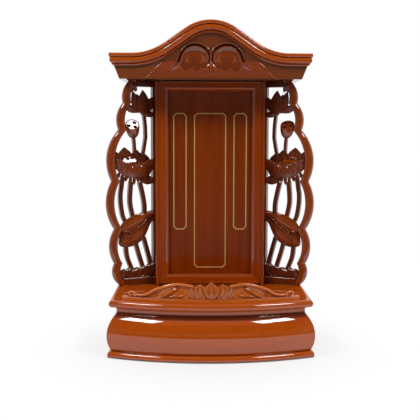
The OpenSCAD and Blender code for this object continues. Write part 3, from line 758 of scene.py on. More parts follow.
# Spine and depth of the petals beside the middle one
SIDE_PETALS = [
    ([(18, 5, 5), (23.5, 9.5, 7.5), (26.5, 14.5, 7.8), (28, 19, 5), (28.6, 22, 2), (28.8, 23.5, 0.3)], 2.2),
    ([(9, 5, 5), (13.5, 10, 8.5), (15.5, 15.5, 9), (16, 20.5, 6.5), (15.6, 24, 2.5), (15.2, 25.6, 0.3)], 1.3)]
MIDDLE_PETAL = [(0, 4.5, 5.5), (0, 9, 9), (0, 14, 10), (0, 19, 9), (0, 24, 5.5), (0, 27.5, 2), (0, 29, 0.3)]


def on_crest(x, depth, up):
    """Carry a point of the flat crest on to the bow of the base."""
    radius = bow_radius() - CREST_IN - depth
    return x, FRONT_Y + bow_radius() - math.sqrt(radius * radius - x * x), BASE_TOP + up


class TABLET_OT_lotus_crest(bpy.types.Operator):
    """Lotus with a scrolled arm on each side, standing on the front of the base"""

    bl_idname = "tablet.lotus_crest"
    bl_label = "Lotus crest"

    def execute(self, context):
        carve = Carving()
        carve.skin([[(x, d, h) for d, h in STRIP] for x in spread(-CREST_HALF, CREST_HALF, 60)])
        petal = {"cup": 1.8, "veins": 3, "vein": 0.25, "bead": 0.7}
        for side, _ in SIDES:
            rings = []
            for x, top in curve(ARM_TOP, 5):
                section = [(3.8, 0.5), (3.6, top - 3), (4, top - 2), (8, top - 2), (8.4, top - 3), (8.4, 0.5)]
                rings.append([(side * x, d, h) for d, h in section])
            carve.skin(rings)
            carve.stem(mirrored(ARM_RIDGE, side), 2.8, 1.9, 2.4, corner=1.8)
            carve.leaf(mirrored(ARM_LEAF, side), 3.4, cup=-2.2, thick=3, vein=0)
            carve.stem(mirrored(ARM_CURL, side), 3.8, 1.0, 1.4, corner=0.9)
            for spine, depth in SIDE_PETALS:
                carve.leaf(mirrored(spine, side), depth, thick=5, **petal)
        carve.leaf(MIDDLE_PETAL, 0.6, thick=6, **petal)
        crest = carve.build("crest_carving", on_crest)
        dress(crest, lacquer("crest", "X", hollows=True), "tablet", "carving_lacquer", "lotus_crest")
        return {"FINISHED"}


# Case

# How far the case laps over the edge of the door, and the play behind the door
CASE_LIP = 5
REBATE_PLAY = 0.4
SCREW_R = 2.5
# Section of a screw as (radius, depth from the top of its head)
SCREW_SECTION = [(1.25, -13), (1.25, -1.6), (2.5, -1.5), (2.5, -0.5), (2, -0.15), (0.3, 0)]
BRASS = (0.66, 0.46, 0.18)


class TABLET_OT_case(bpy.types.Operator):
    """Rebated sides and the back board of the case"""

    bl_idname = "tablet.case"
    bl_label = "Case"

    def execute(self, context):
        rebate_y = DOOR_HIGH[1] + REBATE_PLAY
        back_low, back_high = corners("case_back_board")
        x0, y0, z0 = CASE_LOW
        x1, y1, z1 = CASE_HIGH
        lip = x1 - CASE_LIP
        plan = [(lip, y0), (x1, y0), (x1, y1), (back_high[0], y1), (back_high[0], back_low[1]),
                (x0, back_low[1]), (x0, rebate_y), (lip, rebate_y)]
        for side, name in SIDES:
            rings = [[(side * x, y, z) for x, y in plan] for z in (z0, z1)]
            piece = loft(f"case_{name}", rings)
            soften(piece)
            dress(piece, lacquer("case", "Z"), "tablet", "case_lacquer", f"case_side_{name}")
        back = board("case_back", back_low, back_high)
        dress(back, lacquer("case", "Z"), "tablet", "case_lacquer", "case_back_board")
        return {"FINISHED"}


class TABLET_OT_back_screws(bpy.types.Operator):
    """Domed brass screws in the back board"""

    bl_idname = "tablet.back_screws"
    bl_label = "Back screws"

    def execute(self, context):
        low, high = corners("back_screws")
        carve = Carving()
        for x in (low[0] + SCREW_R, high[0] - SCREW_R):
            for z in (low[2] + SCREW_R, high[2] - SCREW_R):
                carve.skin([[(x + r * math.cos(a), high[1] + h, z + r * math.sin(a)) for a in turns(24)]
                            for r, h in SCREW_SECTION])
        piece = carve.build("back_screw_heads")
        dress(piece, metal("screw_brass", BRASS, 0.6, 0.3), "tablet", "screw_brass", "back_screws")
        return {"FINISHED"}


# Door

RAIL_W = 14.7
BEAD_W = 2.0
BEAD_PROUD = 0.8
BEVEL_W = 5.0
BEVEL_RISE = 0.6
GROOVE_IN = 4.0
GROOVE_PLAY = 0.1
# Rounding of the edges of the bars and of the slips, in metres
BAR_ROUND = 0.0003
SLIP_ROUND = 0.0004
SLIP_CHAMFER = 14
# Cartouches as (middle, half width, lower end, upper end), the radius of their hollow corners, and the
# section of their line as (share of its half width, depth)
CARTOUCHES = [(0, 24, 112, 351), (-46.5, 9.5, 172, 351), (46.5, 9.5, 172, 351)]
NOTCH = 3.2
GILT_SECTION = [(-1, 0.2), (-0.85, -0.3), (0.85, -0.3), (1, 0.2)]


def bar_section():
    """Section of a door bar as (distance in from the edge, depth from the front)."""
    depth = DOOR_HIGH[1] - DOOR_LOW[1]
    groove_front = PANEL_LOW[1] - DOOR_LOW[1] - GROOVE_PLAY
    groove_back = PANEL_HIGH[1] - DOOR_LOW[1] + GROOVE_PLAY
    flat_end = RAIL_W - BEVEL_W
    bead = BEAD_W / 2
    return ([(0, depth), (0, BEAD_PROUD + bead)] + arc((bead, bead), bead, 180, 360, 10)
            + [(BEAD_W, BEAD_PROUD)]
            + bulge((flat_end, BEAD_PROUD), (RAIL_W, BEAD_PROUD + BEVEL_W), BEVEL_RISE, 8)
            + [(RAIL_W, groove_front), (RAIL_W - GROOVE_IN, groove_front),
               (RAIL_W - GROOVE_IN, groove_back), (RAIL_W, groove_back), (RAIL_W, depth)])


class TABLET_OT_door(bpy.types.Operator):
    """Mitred door frame with its bead and bevel, and the panel in its grooves"""

    bl_idname = "tablet.door"
    bl_label = "Door"

    def execute(self, context):
        front = DOOR_LOW[1]
        low_z, high_z = DOOR_LOW[2], DOOR_HIGH[2]
        section = bar_section()

        def corner(side, edge, inward):
            return [(side * (DOOR_HALF - e), front + d, edge + inward * e) for e, d in section]

        def bar(name, axis, ends, node):
            piece = loft(f"door_{name}", ends)
            soften(piece, BAR_ROUND)
            dress(piece, lacquer("case", axis), "door", "case_lacquer", node)

        for side, name in SIDES:
            bar(name, "Z", [corner(side, low_z, 1), corner(side, high_z, -1)], f"door_stile_{name}")
        for edge, inward, name in ((low_z, 1, "bottom"), (high_z, -1, "top")):
            bar(name, "X", [corner(side, edge, inward) for side, _ in SIDES], f"door_{name}_rail")
        panel = board("door_panel", PANEL_LOW, PANEL_HIGH)
        dress(panel, lacquer("panel", "Z", polish=SATIN), "door", "panel_lacquer", "inscription_panel")
        return {"FINISHED"}


class TABLET_OT_gilt_lines(bpy.types.Operator):
    """Three empty gilt cartouches inlaid in the panel"""

    bl_idname = "tablet.gilt_lines"
    bl_label = "Gilt lines"

    def execute(self, context):
        half_line = context.scene.tablet_sizes.gilt_width / MM / 2
        carve = Carving()
        for cartouche in CARTOUCHES:
            path = self.notched(*cartouche)
            rings = []
            for k, p in enumerate(path):
                before = path[k - 1]
                after = path[(k + 1) % len(path)]
                ahead = (after[0] - before[0], after[1] - before[1])
                size = math.hypot(*ahead)
                side = (ahead[1] / size * half_line, -ahead[0] / size * half_line)
                rings.append([(p[0] + side[0] * a, PANEL_LOW[1] + d, p[1] + side[1] * a)
                              for a, d in GILT_SECTION])
            carve.skin(rings, loop=True)
        piece = carve.build("panel_gilt_lines")
        gilt = tuple(context.scene.tablet_colours.gilt)
        dress(piece, metal("gilding", gilt, 0.7, 0.4, 0.3), "door", "panel_lacquer")
        return {"FINISHED"}

    @staticmethod
    def notched(x, half, low, high):
        """An upright rectangle with hollow corners."""
        return (arc((x - half, low), NOTCH, 90, 0, 6) + arc((x + half, low), NOTCH, 180, 90, 6)
                + arc((x + half, high), NOTCH, 270, 180, 6) + arc((x - half, high), NOTCH, 360, 270, 6))


class TABLET_OT_slips(bpy.types.Operator):
    """Chamfered name slips behind the door"""

    bl_idname = "tablet.slips"
    bl_label = "Name slips"

    def execute(self, context):
        for i in range(1, 7):
            node = f"name_slip_{i}"
            (x0, y0, z0), (x1, y1, z1) = corners(node)
            shoulder = z1 - SLIP_CHAMFER
            outline = [(x0, z0), (x1, z0), (x1, shoulder), (x1 - SLIP_CHAMFER, z1), (x0 + SLIP_CHAMFER, z1),
                       (x0, shoulder)]
            slip = prism(f"slip_{i}", outline, y0, y1)
            soften(slip, SLIP_ROUND)
            dress(slip, bare_wood("Z"), "slips", "bare_wood", node)
        return {"FINISHED"}


# Wings, in places out from the case and up from the base

RIM_CUSPS = [(59, 0), (67.8, 34.8), (67.5, 88.5), (71.2, 162.7), (59.2, 241.7), (51.5, 282.8), (42, 316)]
RIM_RISES = [7.2, 7.8, 10.6, 12.8, 6.3, 4.9]
# Section of the rim from its outer edge in, as (share of its width, depth)
RIM_SECTION = [(-1, 2), (-0.95, 0.7), (-0.84, 0), (-0.44, 0), (-0.25, 0.6), (-0.1, 1.9), (-0.03, 3.9), (0, 6),
               (0, 7.5), (-0.07, 10), (-0.24, 13), (-0.48, 15.4), (-0.6, 16), (-0.9, 16), (-1, 14.8)]
# Rails as (end, lower edge, upper edge, inset of both faces)
RAILS = [(54, 0.0, 11.5, 0), (38, 307.5, 316.0, 0), (4, 0.5, 315.5, 3)]
# Depth of the middle of a stem and half its depth, and each stem as its half width and its points
STEM_AT = 8
STEM_DEEP = 4.6
STEMS = [(3.4, [(39, 24), (46.5, 44), (48.4, 62)]), (3.4, [(19.6, 23), (27, 46), (33.6, 70)]),
         (3.4, [(8, 29), (11.5, 46), (19.4, 74)]), (3.4, [(36.5, 106), (40.8, 126), (41, 141), (39.2, 162)]),
         (3.4, [(17.6, 110), (17.7, 125), (20.4, 141), (25, 161)]),
         (3.2, [(47.5, 97), (52.8, 108), (56, 127), (56.4, 142), (55, 152), (52.6, 170)]),
         (2.3, [(33, 205), (33.6, 221), (35.4, 236)]),
         (2.4, [(19.6, 203), (15.2, 228), (15, 236), (15.6, 250), (18, 270)])]
# Tips of the waves
WAVES = [(51, 25.5), (41, 27.5), (30, 27), (19, 29), (9, 31.5), (2, 33)]
# The lower leaf, its two rolled halves and the furl between them
WHOLE_LEAF = [(0.6, 111.3, 5.4), (10.9, 106.7, 8), (18, 102.9, 11.5), (23.6, 96.9, 14.5), (31.7, 87.9, 19),
              (40.1, 82.4, 18), (46, 76.8, 15.5), (50.6, 69.7, 10.5), (54.7, 65, 6.5), (57.5, 62.9, 2)]
LOWER_HALF = [(3, 103, 2), (11, 97, 4.5), (19, 88, 8), (27, 79, 10.5), (36, 73.5, 11.5), (45, 70, 11),
              (52, 67.4, 8.5), (57, 66.4, 5.5), (59, 66.2, 3)]
UPPER_HALF = [(0.5, 112.5, 3.5), (10, 110.5, 4.6), (20, 105.5, 7.5), (29, 101.5, 10), (38, 97, 10.5),
              (46, 92.6, 10), (52, 89.6, 8), (55.4, 88.4, 5), (56.8, 88, 2.6)]
FURL = [(7.9, 108.1), (15, 103), (21.4, 95.5), (27.1, 91.5), (34.6, 90.1), (42, 84.5), (40.5, 79),
        (45.5, 75.5), (43.5, 70), (46.7, 65.5)]
# Petals of the blossom as (root, tip, width, depth), those behind its pod, those that hang and those before
PETALS_BEHIND = [((57, 184), (63, 208.6), 17, 9), ((46, 184), (48.2, 215), 25, 11.2),
                 ((30, 184), (27.8, 211.2), 22, 11.4), ((17, 184), (16, 205), 20, 9),
                 ((6, 182), (2, 196), 12, 8.4)]
PETALS_HANGING = [((57, 177), (61.6, 166.6), 5.5, 5), ((52, 175), (55, 165.5), 5, 4.4),
                  ((46, 172), (48.4, 162), 5.5, 4), ((40, 171), (41.4, 156.8), 5.5, 3.4),
                  ((34.5, 171), (34.4, 156.6), 5.5, 3.4), ((29, 171), (27.6, 160), 5.5, 4)]
PETALS_BEFORE = [((44, 172), (65.5, 197), 18, 4.6), ((20, 173), (2, 197), 18, 4.6),
                 ((40, 169.5), (57, 193), 20, 3.6), ((26, 169.5), (10, 192), 19, 3.6),
                 ((37.5, 168.5), (46, 191), 20, 2.6), ((30, 168.5), (22, 189.6), 20, 2.6),
                 ((34.5, 168), (35.5, 188.6), 21, 1.6)]
SIDE_LEAF = [(27, 167.5, 3), (20, 165.5, 6), (12, 164, 7.5), (5, 162.5, 5), (1, 161.5, 1)]
BOWL = [(37, 167.6, 6), (36.5, 170, 11.5), (35.5, 174, 18.5), (33.5, 180, 28), (34, 187, 30.5),
        (34.5, 192.5, 30)]
# The bud: petals at its back, then leaves as spine and depth, those behind with their cup
BUD_PETALS = [((23, 268), (28.4, 297), 14, 6), ((16, 268), (12, 294), 14, 6)]
BUD_BACK = [([(27, 270, 5), (30, 280, 7.5), (33, 290, 6), (36, 301, 0.6)], 3.6, 1.6),
            ([(16, 269, 4), (10.5, 278, 7), (5.5, 286.5, 5.6), (2, 293.5, 0.4)], 3.6, 1.8)]
BUD_FRONT = [([(18, 271, 2.5), (27, 271.8, 4), (35, 272.6, 5.4), (41, 274.4, 5.8), (45.6, 278, 3.4),
               (47.4, 282, 0.6)], 2.6),
             ([(21.5, 270.5, 3), (14, 267, 5), (6.5, 265.6, 4.6), (1.5, 264.6, 1.4)], 3)]
TOP_LEAF = [(49, 297, 3), (45, 303, 6.5), (39, 306.5, 7), (33, 304, 4), (31.5, 300, 0.8)]
# Seeds of the pods, as shares of the radius
LOWER_SEEDS = [(0.23, 0.51), (-0.38, 0.64), (0, -0.4)]
UPPER_SEEDS = [(-0.32, 0.38), (0.54, -0.2), (-0.36, -0.46)]
# Tilt of the seed pods on each side, and how much more the lower one has
POD_TILTS = {"left": 18.7, "right": 33}
LOWER_TILT = 2.3
# Tones of the carving: painted shade, from 0 for parts deep in shade to 1 for parts in full light
RIM_TONE = 0.8
DARK_TONE = 0.3
WATER_TONE = 0.6
LEAF_TONE = 0.7
POD_TONE = 0.8
HANGING_TONE = 0.6
FRONT_TONE = 0.85
BUD_TONE = 0.9


def wing_frame(carve, sizes):
    """The scalloped rim and the straight rails."""
    lean = math.tan(sizes.wing_angle)
    edge = []
    for p, q, rise in zip(RIM_CUSPS, RIM_CUSPS[1:], RIM_RISES):
        edge += bulge(p, q, rise, 12)[:-1]
    edge.append(RIM_CUSPS[-1])
    carve.tone = RIM_TONE
    carve.skin([[(u + a * sizes.rim_width / MM, w, v) for a, w in RIM_SECTION] for u, v in edge])
    carve.tone = DARK_TONE
    for end, low, high, inset in RAILS:
        section = rounded((inset, low), (sizes.wing_thickness / MM - inset, high), 1.2)
        carve.skin([[(-w * lean + 0.05, w, v) for w, v in section], [(end, w, v) for w, v in section]])
    carve.tone = RIM_TONE
    carve.stem([(3, 9.8), (28, 10), (52, 9.8)], 0.4, 0.5, 0.8, corner=0.45)


def wing_plants(carve, tilt):
    """Stems, waves, the lower leaf, the blossom with its pod, the upper pod and the bud."""
    carve.tone = DARK_TONE
    for wide, points in STEMS:
        carve.stem(points, STEM_AT, wide, STEM_DEEP)
    carve.tone = WATER_TONE
    carve.leaf([(0.5, 18, 10), (28, 17, 9), (56, 16, 7)], 6, cup=1, thick=6, vein=0, bead=0)
    for u, top in WAVES:
        foot = min(u + 15, 55)
        spine = [(foot, 10.5, 4.5), ((foot + u) / 2 + 1, 16.5, 6), (u + 3, top - 4, 4.4), (u, top, 0.6)]
        carve.leaf(spine, 2.6, cup=1.6, arch=1, thick=8, veins=4, vein=0.5, bead=0.25)
    carve.tone = LEAF_TONE
    carve.leaf(WHOLE_LEAF, 6, cup=2.5, arch=1.5, thick=6, veins=4, vein=0.2, bead=0.3)
    carve.tone = 1.0
    carve.leaf(LOWER_HALF, 4.6, cup=2.6, arch=1.6, thick=6, vein=0, bead=0.3)
    carve.leaf(UPPER_HALF, 3, cup=2.6, arch=1.6, thick=6, vein=0, bead=0.25)
    carve.stem(FURL, 1.9, 0.7, 0.9, corner=0.6)
    carve.tone = BUD_TONE
    carve.petals(PETALS_BEHIND, cup=1.2, arch=0.8, thick=3, veins=7)
    carve.tone = POD_TONE
    carve.pod((41.3, 193), 12, 6.4, tilt + LOWER_TILT, (36, 10, 172), LOWER_SEEDS, 0.7)
    carve.tone = HANGING_TONE
    carve.petals(PETALS_HANGING, cup=1.2, thick=5, veins=1)
    carve.leaf(SIDE_LEAF, 4.6, cup=1.8, thick=5)
    carve.leaf(BOWL, 3.6, cup=4, arch=1.4, thick=5, veins=9, vein=0.3)
    carve.tone = FRONT_TONE
    carve.petals(PETALS_BEFORE, cup=2, arch=2, thick=6, veins=5, vein=0.45, bead=0.6)
    carve.tone = POD_TONE
    carve.pod((36.8, 249.6), 11.2, 5, tilt, (34.8, 8.5, 231), UPPER_SEEDS, 0.76)
    carve.tone = BUD_TONE
    carve.petals(BUD_PETALS, cup=1.6, arch=1, thick=4, veins=5)
    for spine, depth, cup in BUD_BACK:
        carve.leaf(spine, depth, cup=cup, arch=1.2, thick=6)
    carve.petals([((19.5, 265), (20.2, 302.8), 18, 1.4)], cup=2.2, arch=2, thick=6)
    for spine, depth in BUD_FRONT:
        carve.leaf(spine, depth, cup=1.8, arch=1.2, thick=7)
    carve.leaf(TOP_LEAF, 1.4, cup=1, arch=1, thick=6)


class TABLET_OT_wings(bpy.types.Operator):
    """Pierced wings: a scalloped rim round lotus flowers, pods, leaves and stems"""

    bl_idname = "tablet.wings"
    bl_label = "Wings"

    def execute(self, context):
        sizes = context.scene.tablet_sizes
        turn = sizes.wing_angle
        front = CASE_LOW[1] + sizes.wing_set / MM
        for side, name in SIDES:
            carve = Carving()
            wing_frame(carve, sizes)
            wing_plants(carve, POD_TILTS[name])

            def place(u, w, v, side=side):
                x = HALF_CASE + u * math.cos(turn) + w * math.sin(turn)
                return side * x, front - u * math.sin(turn) + w * math.cos(turn), BASE_TOP + v

            piece = carve.build(f"wing_{name}_carving", place)
            dress(piece, lacquer("carving", "Z", hollows=True), "tablet", "carving_lacquer", f"wing_{name}")
        return {"FINISHED"}


# Roof

DECK_T = 6.0
CROWN_H = 12.0
DECK_OVER = ROOF_FRONT - DECK_FRONT
END_OVER = 6.5
END_X = HALF_TIP - END_OVER
HALF_LOW = 134.5
CROWN_R = 65.0
VALLEY_R = 83.0
SLOPE = 34.5
TIP_Z = CROWN_TOP + DECK_T
FASCIA_Z = TIP_Z - DECK_T - CROWN_H


def ogee(depth, tip_x):
    """The roof line at a depth below its top, from tip to tip."""
    slope = math.radians(SLOPE)
    crown_x = CROWN_R * math.sin(slope)
    crown_z = PEAK_Z - CROWN_R * (1 - math.cos(slope))
    valley_z = TIP_Z + VALLEY_R * (1 - math.cos(slope))
    valley_x = crown_x + (crown_z - valley_z) / math.tan(slope) + VALLEY_R * math.sin(slope)
    half = arc((0, PEAK_Z - CROWN_R), CROWN_R - depth, 90, 90 - SLOPE, 14)
    half += arc((valley_x, TIP_Z + VALLEY_R), VALLEY_R + depth, 270 - SLOPE, 270, 16)
    half += [(valley_x + (tip_x - valley_x) * k, TIP_Z - depth) for k in (0.35, 0.7, 1)]
    return [(-x, z) for x, z in half[:0:-1]] + half


# Section of the crown as (depth below the roof board, reach before the front board)
CROWN_SECTION = [(0, 0), (0, 6.6), (0.5, 7.3), (1.5, 8), (2.9, 8.4), (4.4, 8.5), (5.8, 8.2), (7, 7.4),
                 (8, 6.2), (8.7, 4.8), (9.1, 3.6), (9.5, 3.4), (9.7, 4.3), (10.3, 4.6), (10.9, 4.3),
                 (11.2, 3.2), (11.2, 1.6), (12, 1.2), (12, 0)]


def along_roof(section, tip_at):
    """Rings along the roof line, one point for each point of the section."""
    lines = [(ogee(depth, tip_at(y)), y) for depth, y in section]
    return [[(line[k][0], y, line[k][1]) for line, y in lines] for k in range(len(lines[0][0]))]


class TABLET_OT_roof_mouldings(bpy.types.Operator):
    """Roof board with its rounded nose, and the crown moulding under it"""

    bl_idname = "tablet.roof_mouldings"
    bl_label = "Roof mouldings"

    def execute(self, context):
        nose = DECK_T / 2
        front = arc((nose, DECK_FRONT + nose), nose, 180, 360)
        section = [(0, ROOF_BACK)] + front + [(DECK_T, ROOF_BACK)]
        deck = loft("roof_board", along_roof(section, lambda y: HALF_TIP))
        dress(deck, lacquer("base", "X"), "tablet", "roof_lacquer", "roof_deck")
        profile = [(DECK_T + t, out) for t, out in CROWN_SECTION]
        crown = loft("crown_front", along_roof([(t, ROOF_FRONT - out) for t, out in profile],
                                               lambda y: END_X + END_OVER * (ROOF_FRONT - y) / DECK_OVER))
        dress(crown, lacquer("base", "X"), "tablet", "roof_lacquer", "roof_crown_front")
        for side, name in SIDES:
            rings = [[(side * (END_X + END_OVER * out / DECK_OVER),
                       ROOF_FRONT - out * (1 - share) + (ROOF_BACK - ROOF_FRONT) * share, TIP_Z - t)
                      for t, out in profile] for share in spread(0, 1, 4)]
            piece = loft(f"crown_{name}", rings)
            dress(piece, lacquer("base", "Y"), "tablet", "roof_lacquer", f"roof_crown_{name}")
        return {"FINISHED"}


class TABLET_OT_roof_boards(bpy.types.Operator):
    """Front and back boards of the roof"""

    bl_idname = "tablet.roof_boards"
    bl_label = "Roof boards"

    def execute(self, context):
        outline = ([(HALF_LOW, ROOF_Z), (END_X, FASCIA_Z)] + ogee(DECK_T, END_X)[::-1]
                   + [(-END_X, FASCIA_Z), (-HALF_LOW, ROOF_Z)])
        for node, name in (("roof_front_board", "gable_front"), ("roof_back_board", "gable_back")):
            low, high = corners(node)
            piece = prism(name, outline, low[1], high[1])
            soften(piece)
            dress(piece, lacquer("roof", "X"), "tablet", "roof_lacquer", node)
        return {"FINISHED"}


# Pediment carving from the middle out, in heights over the lower edge of the roof
PLATE_EDGE = [(96.6, 0.9), (88, 8.5), (81, 16.5), (73, 23), (65.6, 26), (57.5, 26.6), (50, 25.5), (43, 17)]
SCROLL_FIELD = [(3, 20), (3, 38), (12, 46), (24, 49), (34, 46), (41, 38), (45, 26), (45, 19)]
SCROLL_LINE = [(64, 12, 0.3), (57.5, 14.6, 0.7), (51, 19.5, 0.95), (46.4, 26.5, 1), (44, 33, 1),
               (39.8, 40.5, 1), (33.5, 46.2, 1), (24.5, 48.4, 1), (15, 46.8, 1), (7, 41.6, 1),
               (3, 35, 0.95), (2.6, 28.5, 0.8), (5, 22.5, 0.55)]
# Section of the scroll from its outer ridge over a channel to the dished inner slope, and its tones of painted
# shade, darkest in the channel
SCROLL_SECTION = [(4.4, -1.5), (4.4, 2), (4.1, 2.8), (3.5, 3.1), (2.9, 2.8), (2.5, 2), (2, 0.8), (1.2, 0.3),
                  (0.4, 0.3), (-0.4, 0.8), (-0.9, 2.2), (-1.3, 3.4), (-1.9, 3.8), (-2.6, 3.5), (-4.2, 2.4),
                  (-6, 1.2), (-7.8, 0.4), (-7.8, -1.5)]
SCROLL_TONES = [0.7, 0.7, 0.8, 0.9, 0.7, 0.3, 0, 0, 0, 0, 0.3, 0.8, 1, 0.8, 0.6, 0.5, 0.4, 0.4]
# Lobes under each scroll as (across, up, radius), and the bud between the scrolls
FRINGE = [(37, 17, 6.8), (20.5, 17, 6.6), (29, 19, 5.2), (11.5, 19, 4.6)]
# Tones of painted shade of the lobes, the eyes and the plate
FRINGE_TONE = 0.45
EYE_TONE = 0.6
PLATE_TONE = 0.7
# Foot of the plate, and its edge as (reach, share of its size)
PLATE_FOOT = 0.9
PLATE_STEPS = [(-1.0, 1.0), (1.2, 1.0), (1.9, 0.992), (1.9, 0.984)]
MIDDLE_BUD = [(0, 25, 1), (0, 20, 5), (0, 15, 7.4), (0, 10, 5.5), (0, 6, 2), (0, 4.6, 0.3)]


class TABLET_OT_pediment(bpy.types.Operator):
    """Cloud plate and double ruyi scroll on the front of the roof"""

    bl_idname = "tablet.pediment"
    bl_label = "Pediment carving"

    def execute(self, context):
        carve = Carving()
        lobes = curve(PLATE_EDGE, 5) + [(30, 16.5), (0, 16.5)]
        outline = lobes + mirrored(lobes[-2::-1], -1)
        carve.tone = PLATE_TONE
        carve.skin([[(x * grow, -out, PLATE_FOOT + (z - PLATE_FOOT) * (1 - (1 - grow) * 2.5))
                     for x, z in outline] for out, grow in PLATE_STEPS])
        for side, _ in SIDES:
            carve.tone = 1.0
            carve.skin([[(side * x, d, z) for x, z in curve(SCROLL_FIELD, 5)] for d in (1.0, -0.3)])
            carve.bands(mirrored(SCROLL_LINE, side), 0, mirrored(SCROLL_SECTION, side), SCROLL_TONES)
            carve.tone = EYE_TONE
            carve.dome((side * 23.5, 31), 10, -0.5, 1.4, sides=32)
            carve.tone = FRINGE_TONE
            for x, z, radius in FRINGE:
                carve.dome((side * x, z), radius, -1.6, 0.8)
        carve.tone = 1.0
        carve.leaf(MIDDLE_BUD, -1.4, cup=1.6, arch=1.8, thick=2, veins=3)

        def place(x, d, z):
            return x, ROOF_FRONT + d, ROOF_Z + z

        piece = carve.build("pediment_scrolls", place)
        dress(piece, lacquer("carving", "X", hollows=True), "tablet", "carving_lacquer", "pediment_carving")
        return {"FINISHED"}


class TABLET_OT_kept_nodes(bpy.types.Operator):
    """Finishes of the boards and dowels that stay as the frame has them"""

    bl_idname = "tablet.kept_nodes"
    bl_label = "Plain boards and dowels"

    def execute(self, context):
        plain = {"X": ("base_bottom_board", "wing_dowels", "slip_tray"),
                 "Z": ("corner_blocks", "case_dowels", "roof_dowels")}
        for axis, nodes in plain.items():
            for node in nodes:
                paint_over(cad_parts[node], bare_wood(axis))
        polished = {"case_floor": ("case", "X"), "case_top": ("case", "X"), "roof_soffit": ("roof", "X"),
                    "roof_end_left": ("roof", "Y"), "roof_end_right": ("roof", "Y")}
        for node, wood in polished.items():
            paint_over(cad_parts[node], lacquer(*wood))
        return {"FINISHED"}


# Stage

# Edges of the pale floor, in metres, which ends not far before the tablet
FLOOR_FRONT = -0.46
FLOOR_BACK = 3.5
FLOOR_HALF = 3.5
# The place that the softboxes face, their distance and size in metres, and each as (name, turn, height)
LAMP_TARGET = (0.0, 0.0, 0.06)
LAMP_AWAY = 1.6
LAMP_SIZE = (0.48, 0.27)
LAMPS = [("softbox_left", -49, 50), ("softbox_right", 47, 50)]
SENSOR = 36.0
FRAME_PIXELS = 420


def floor_paper(shader):
    """White paper that still takes the shadow of the tablet."""
    place = shader.place()
    mottle = shader.noise(place, 3.0, 3.0)
    away = shader.node("ShaderNodeVectorMath", {"operation": "LENGTH"}, {0: place}, "Value")
    clear = shader.ramp(away, 0.12, 0.3) * 0.3 + 0.7
    paper = shader.node("ShaderNodeBsdfDiffuse", {}, {"Color": shader.mix(grey(0.86), grey(0.90), mottle)})
    white = shader.node("ShaderNodeEmission", {}, {"Color": grey(1), "Strength": 1.0})
    seen = shader.rays("Is Camera Ray") + shader.rays("Is Glossy Ray") + shader.rays("Is Transmission Ray")
    return shader.node("ShaderNodeMixShader", {}, {0: seen * clear, 1: paper, 2: white})


def studio(shader):
    """A dim room with a paler ceiling and sides, white behind the tablet."""
    way = shader.place("Generated")
    aside = shader.part(way, "X")
    aside = shader.ramp(aside * aside, 0.36, 0.9)
    back = shader.ramp(shader.part(way, "Y"), -0.1, 0.45)
    height = shader.part(way, "Z")
    wall = shader.ramp(height, 0.045, 0.075) - shader.ramp(height, 0.16, 0.28)
    ceiling = shader.ramp(height, 0.6, 0.98)
    room = shader.mix(grey(0.1), grey(0.035), shader.ramp(height, -0.1, -0.04))
    for level, share in ((0.15, wall), (0.3, ceiling), (0.4, aside), (0.95, back)):
        room = shader.mix(room, grey(level), share)
    lit = shader.node("ShaderNodeBackground", {}, {"Color": room, "Strength": 1.0})
    white = shader.node("ShaderNodeBackground", {}, {"Color": grey(1), "Strength": 1.0})
    mirrors = shader.rays("Is Glossy Ray") + shader.rays("Is Transmission Ray")
    seen = shader.rays("Is Camera Ray") + mirrors * back
    return shader.node("ShaderNodeMixShader", {}, {0: seen, 1: lit, 2: white})


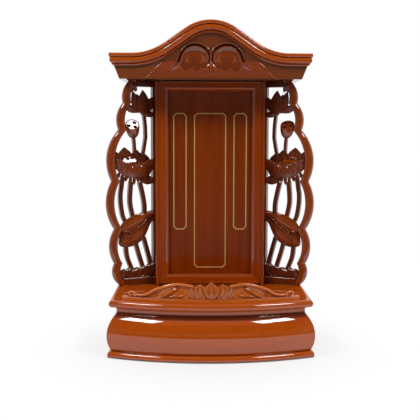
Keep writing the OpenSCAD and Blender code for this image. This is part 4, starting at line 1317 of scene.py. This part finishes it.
class TABLET_OT_stage(bpy.types.Operator):
    """Pale floor, two softboxes and the camera"""

    bl_idname = "tablet.stage"
    bl_label = "Stage"

    def execute(self, context):
        settings = context.scene.tablet_stage
        context.scene.view_settings.view_transform = "Standard"
        deselect()
        bpy.ops.mesh.primitive_plane_add(size=1)
        floor = context.object
        floor.name = "floor"
        floor.data.vertices.foreach_set("co", [
            c for y in (FLOOR_FRONT, FLOOR_BACK) for x in (-FLOOR_HALF, FLOOR_HALF) for c in (x, y, 0.0)])
        floor.data.materials.append(finish("floor_paper", floor_paper))
        world = bpy.data.worlds.new("studio")
        world.use_nodes = True
        context.scene.world = world
        shader = Shader(world.node_tree)
        shader.node("ShaderNodeOutputWorld", {}, {"Surface": studio(shader)})
        for lamp in LAMPS:
            self.softbox(context, *lamp).energy = settings.softbox_power
        self.camera(context, settings)
        return {"FINISHED"}

    @staticmethod
    def softbox(context, name, around, up):
        turn = math.radians(around)
        rise = math.radians(up)
        way = (math.sin(turn) * math.cos(rise), -math.cos(turn) * math.cos(rise), math.sin(rise))
        place = [t + LAMP_AWAY * w for t, w in zip(LAMP_TARGET, way)]
        deselect()
        bpy.ops.object.light_add(type="AREA", location=place, rotation=(math.pi / 2 - rise, 0, turn))
        context.object.name = name
        lamp = context.object.data
        lamp.shape = "RECTANGLE"
        lamp.size, lamp.size_y = LAMP_SIZE
        return lamp

    @staticmethod
    def camera(context, settings):
        away = settings.camera_distance
        turn = settings.turn
        place = (-away * math.sin(turn), CASE_LOW[1] * MM - away * math.cos(turn), settings.camera_height)
        deselect()
        bpy.ops.object.camera_add(location=place, rotation=(math.pi / 2 - settings.tilt, 0, -turn))
        camera = context.object
        camera.rotation_euler.rotate_axis("Z", settings.roll)
        camera.name = "photo_camera"
        camera.data.sensor_fit = "HORIZONTAL"
        camera.data.sensor_width = SENSOR
        camera.data.lens = SENSOR * settings.focal_pixels / FRAME_PIXELS
        context.scene.camera = camera


OPERATORS = (
    TABLET_OT_base_mouldings, TABLET_OT_base_boards, TABLET_OT_lotus_crest, TABLET_OT_case,
    TABLET_OT_back_screws, TABLET_OT_door, TABLET_OT_gilt_lines, TABLET_OT_slips, TABLET_OT_wings,
    TABLET_OT_roof_mouldings, TABLET_OT_roof_boards, TABLET_OT_pediment, TABLET_OT_kept_nodes,
    TABLET_OT_stage,
)


class TABLET_PT_pieces(bpy.types.Panel):
    """Lists the steps that dress the tablet"""

    bl_idname = "TABLET_PT_pieces"
    bl_label = "Ancestor tablet"
    bl_space_type = "VIEW_3D"
    bl_region_type = "UI"
    bl_category = "Tablet"

    def draw(self, context):
        for group in GROUPS:
            settings = getattr(context.scene, group)
            box = self.layout.box()
            for name in settings.__annotations__:
                box.prop(settings, name)
        for operator in OPERATORS:
            self.layout.operator(operator.bl_idname)


GROUPS = {"tablet_sizes": TabletSizes, "tablet_colours": TabletColours, "tablet_stage": TabletStage}


def register():
    for kind in (*GROUPS.values(), *OPERATORS, TABLET_PT_pieces):
        bpy.utils.register_class(kind)
    for name, kind in GROUPS.items():
        setattr(bpy.types.Scene, name, bpy.props.PointerProperty(type=kind))


def unregister():
    for name in GROUPS:
        delattr(bpy.types.Scene, name)
    for kind in (TABLET_PT_pieces, *OPERATORS, *GROUPS.values()):
        bpy.utils.unregister_class(kind)


def main():
    register()
    for operator in OPERATORS:
        group, name = operator.bl_idname.split(".")
        getattr(getattr(bpy.ops, group), name)()


if __name__ == "__main__":
    main()
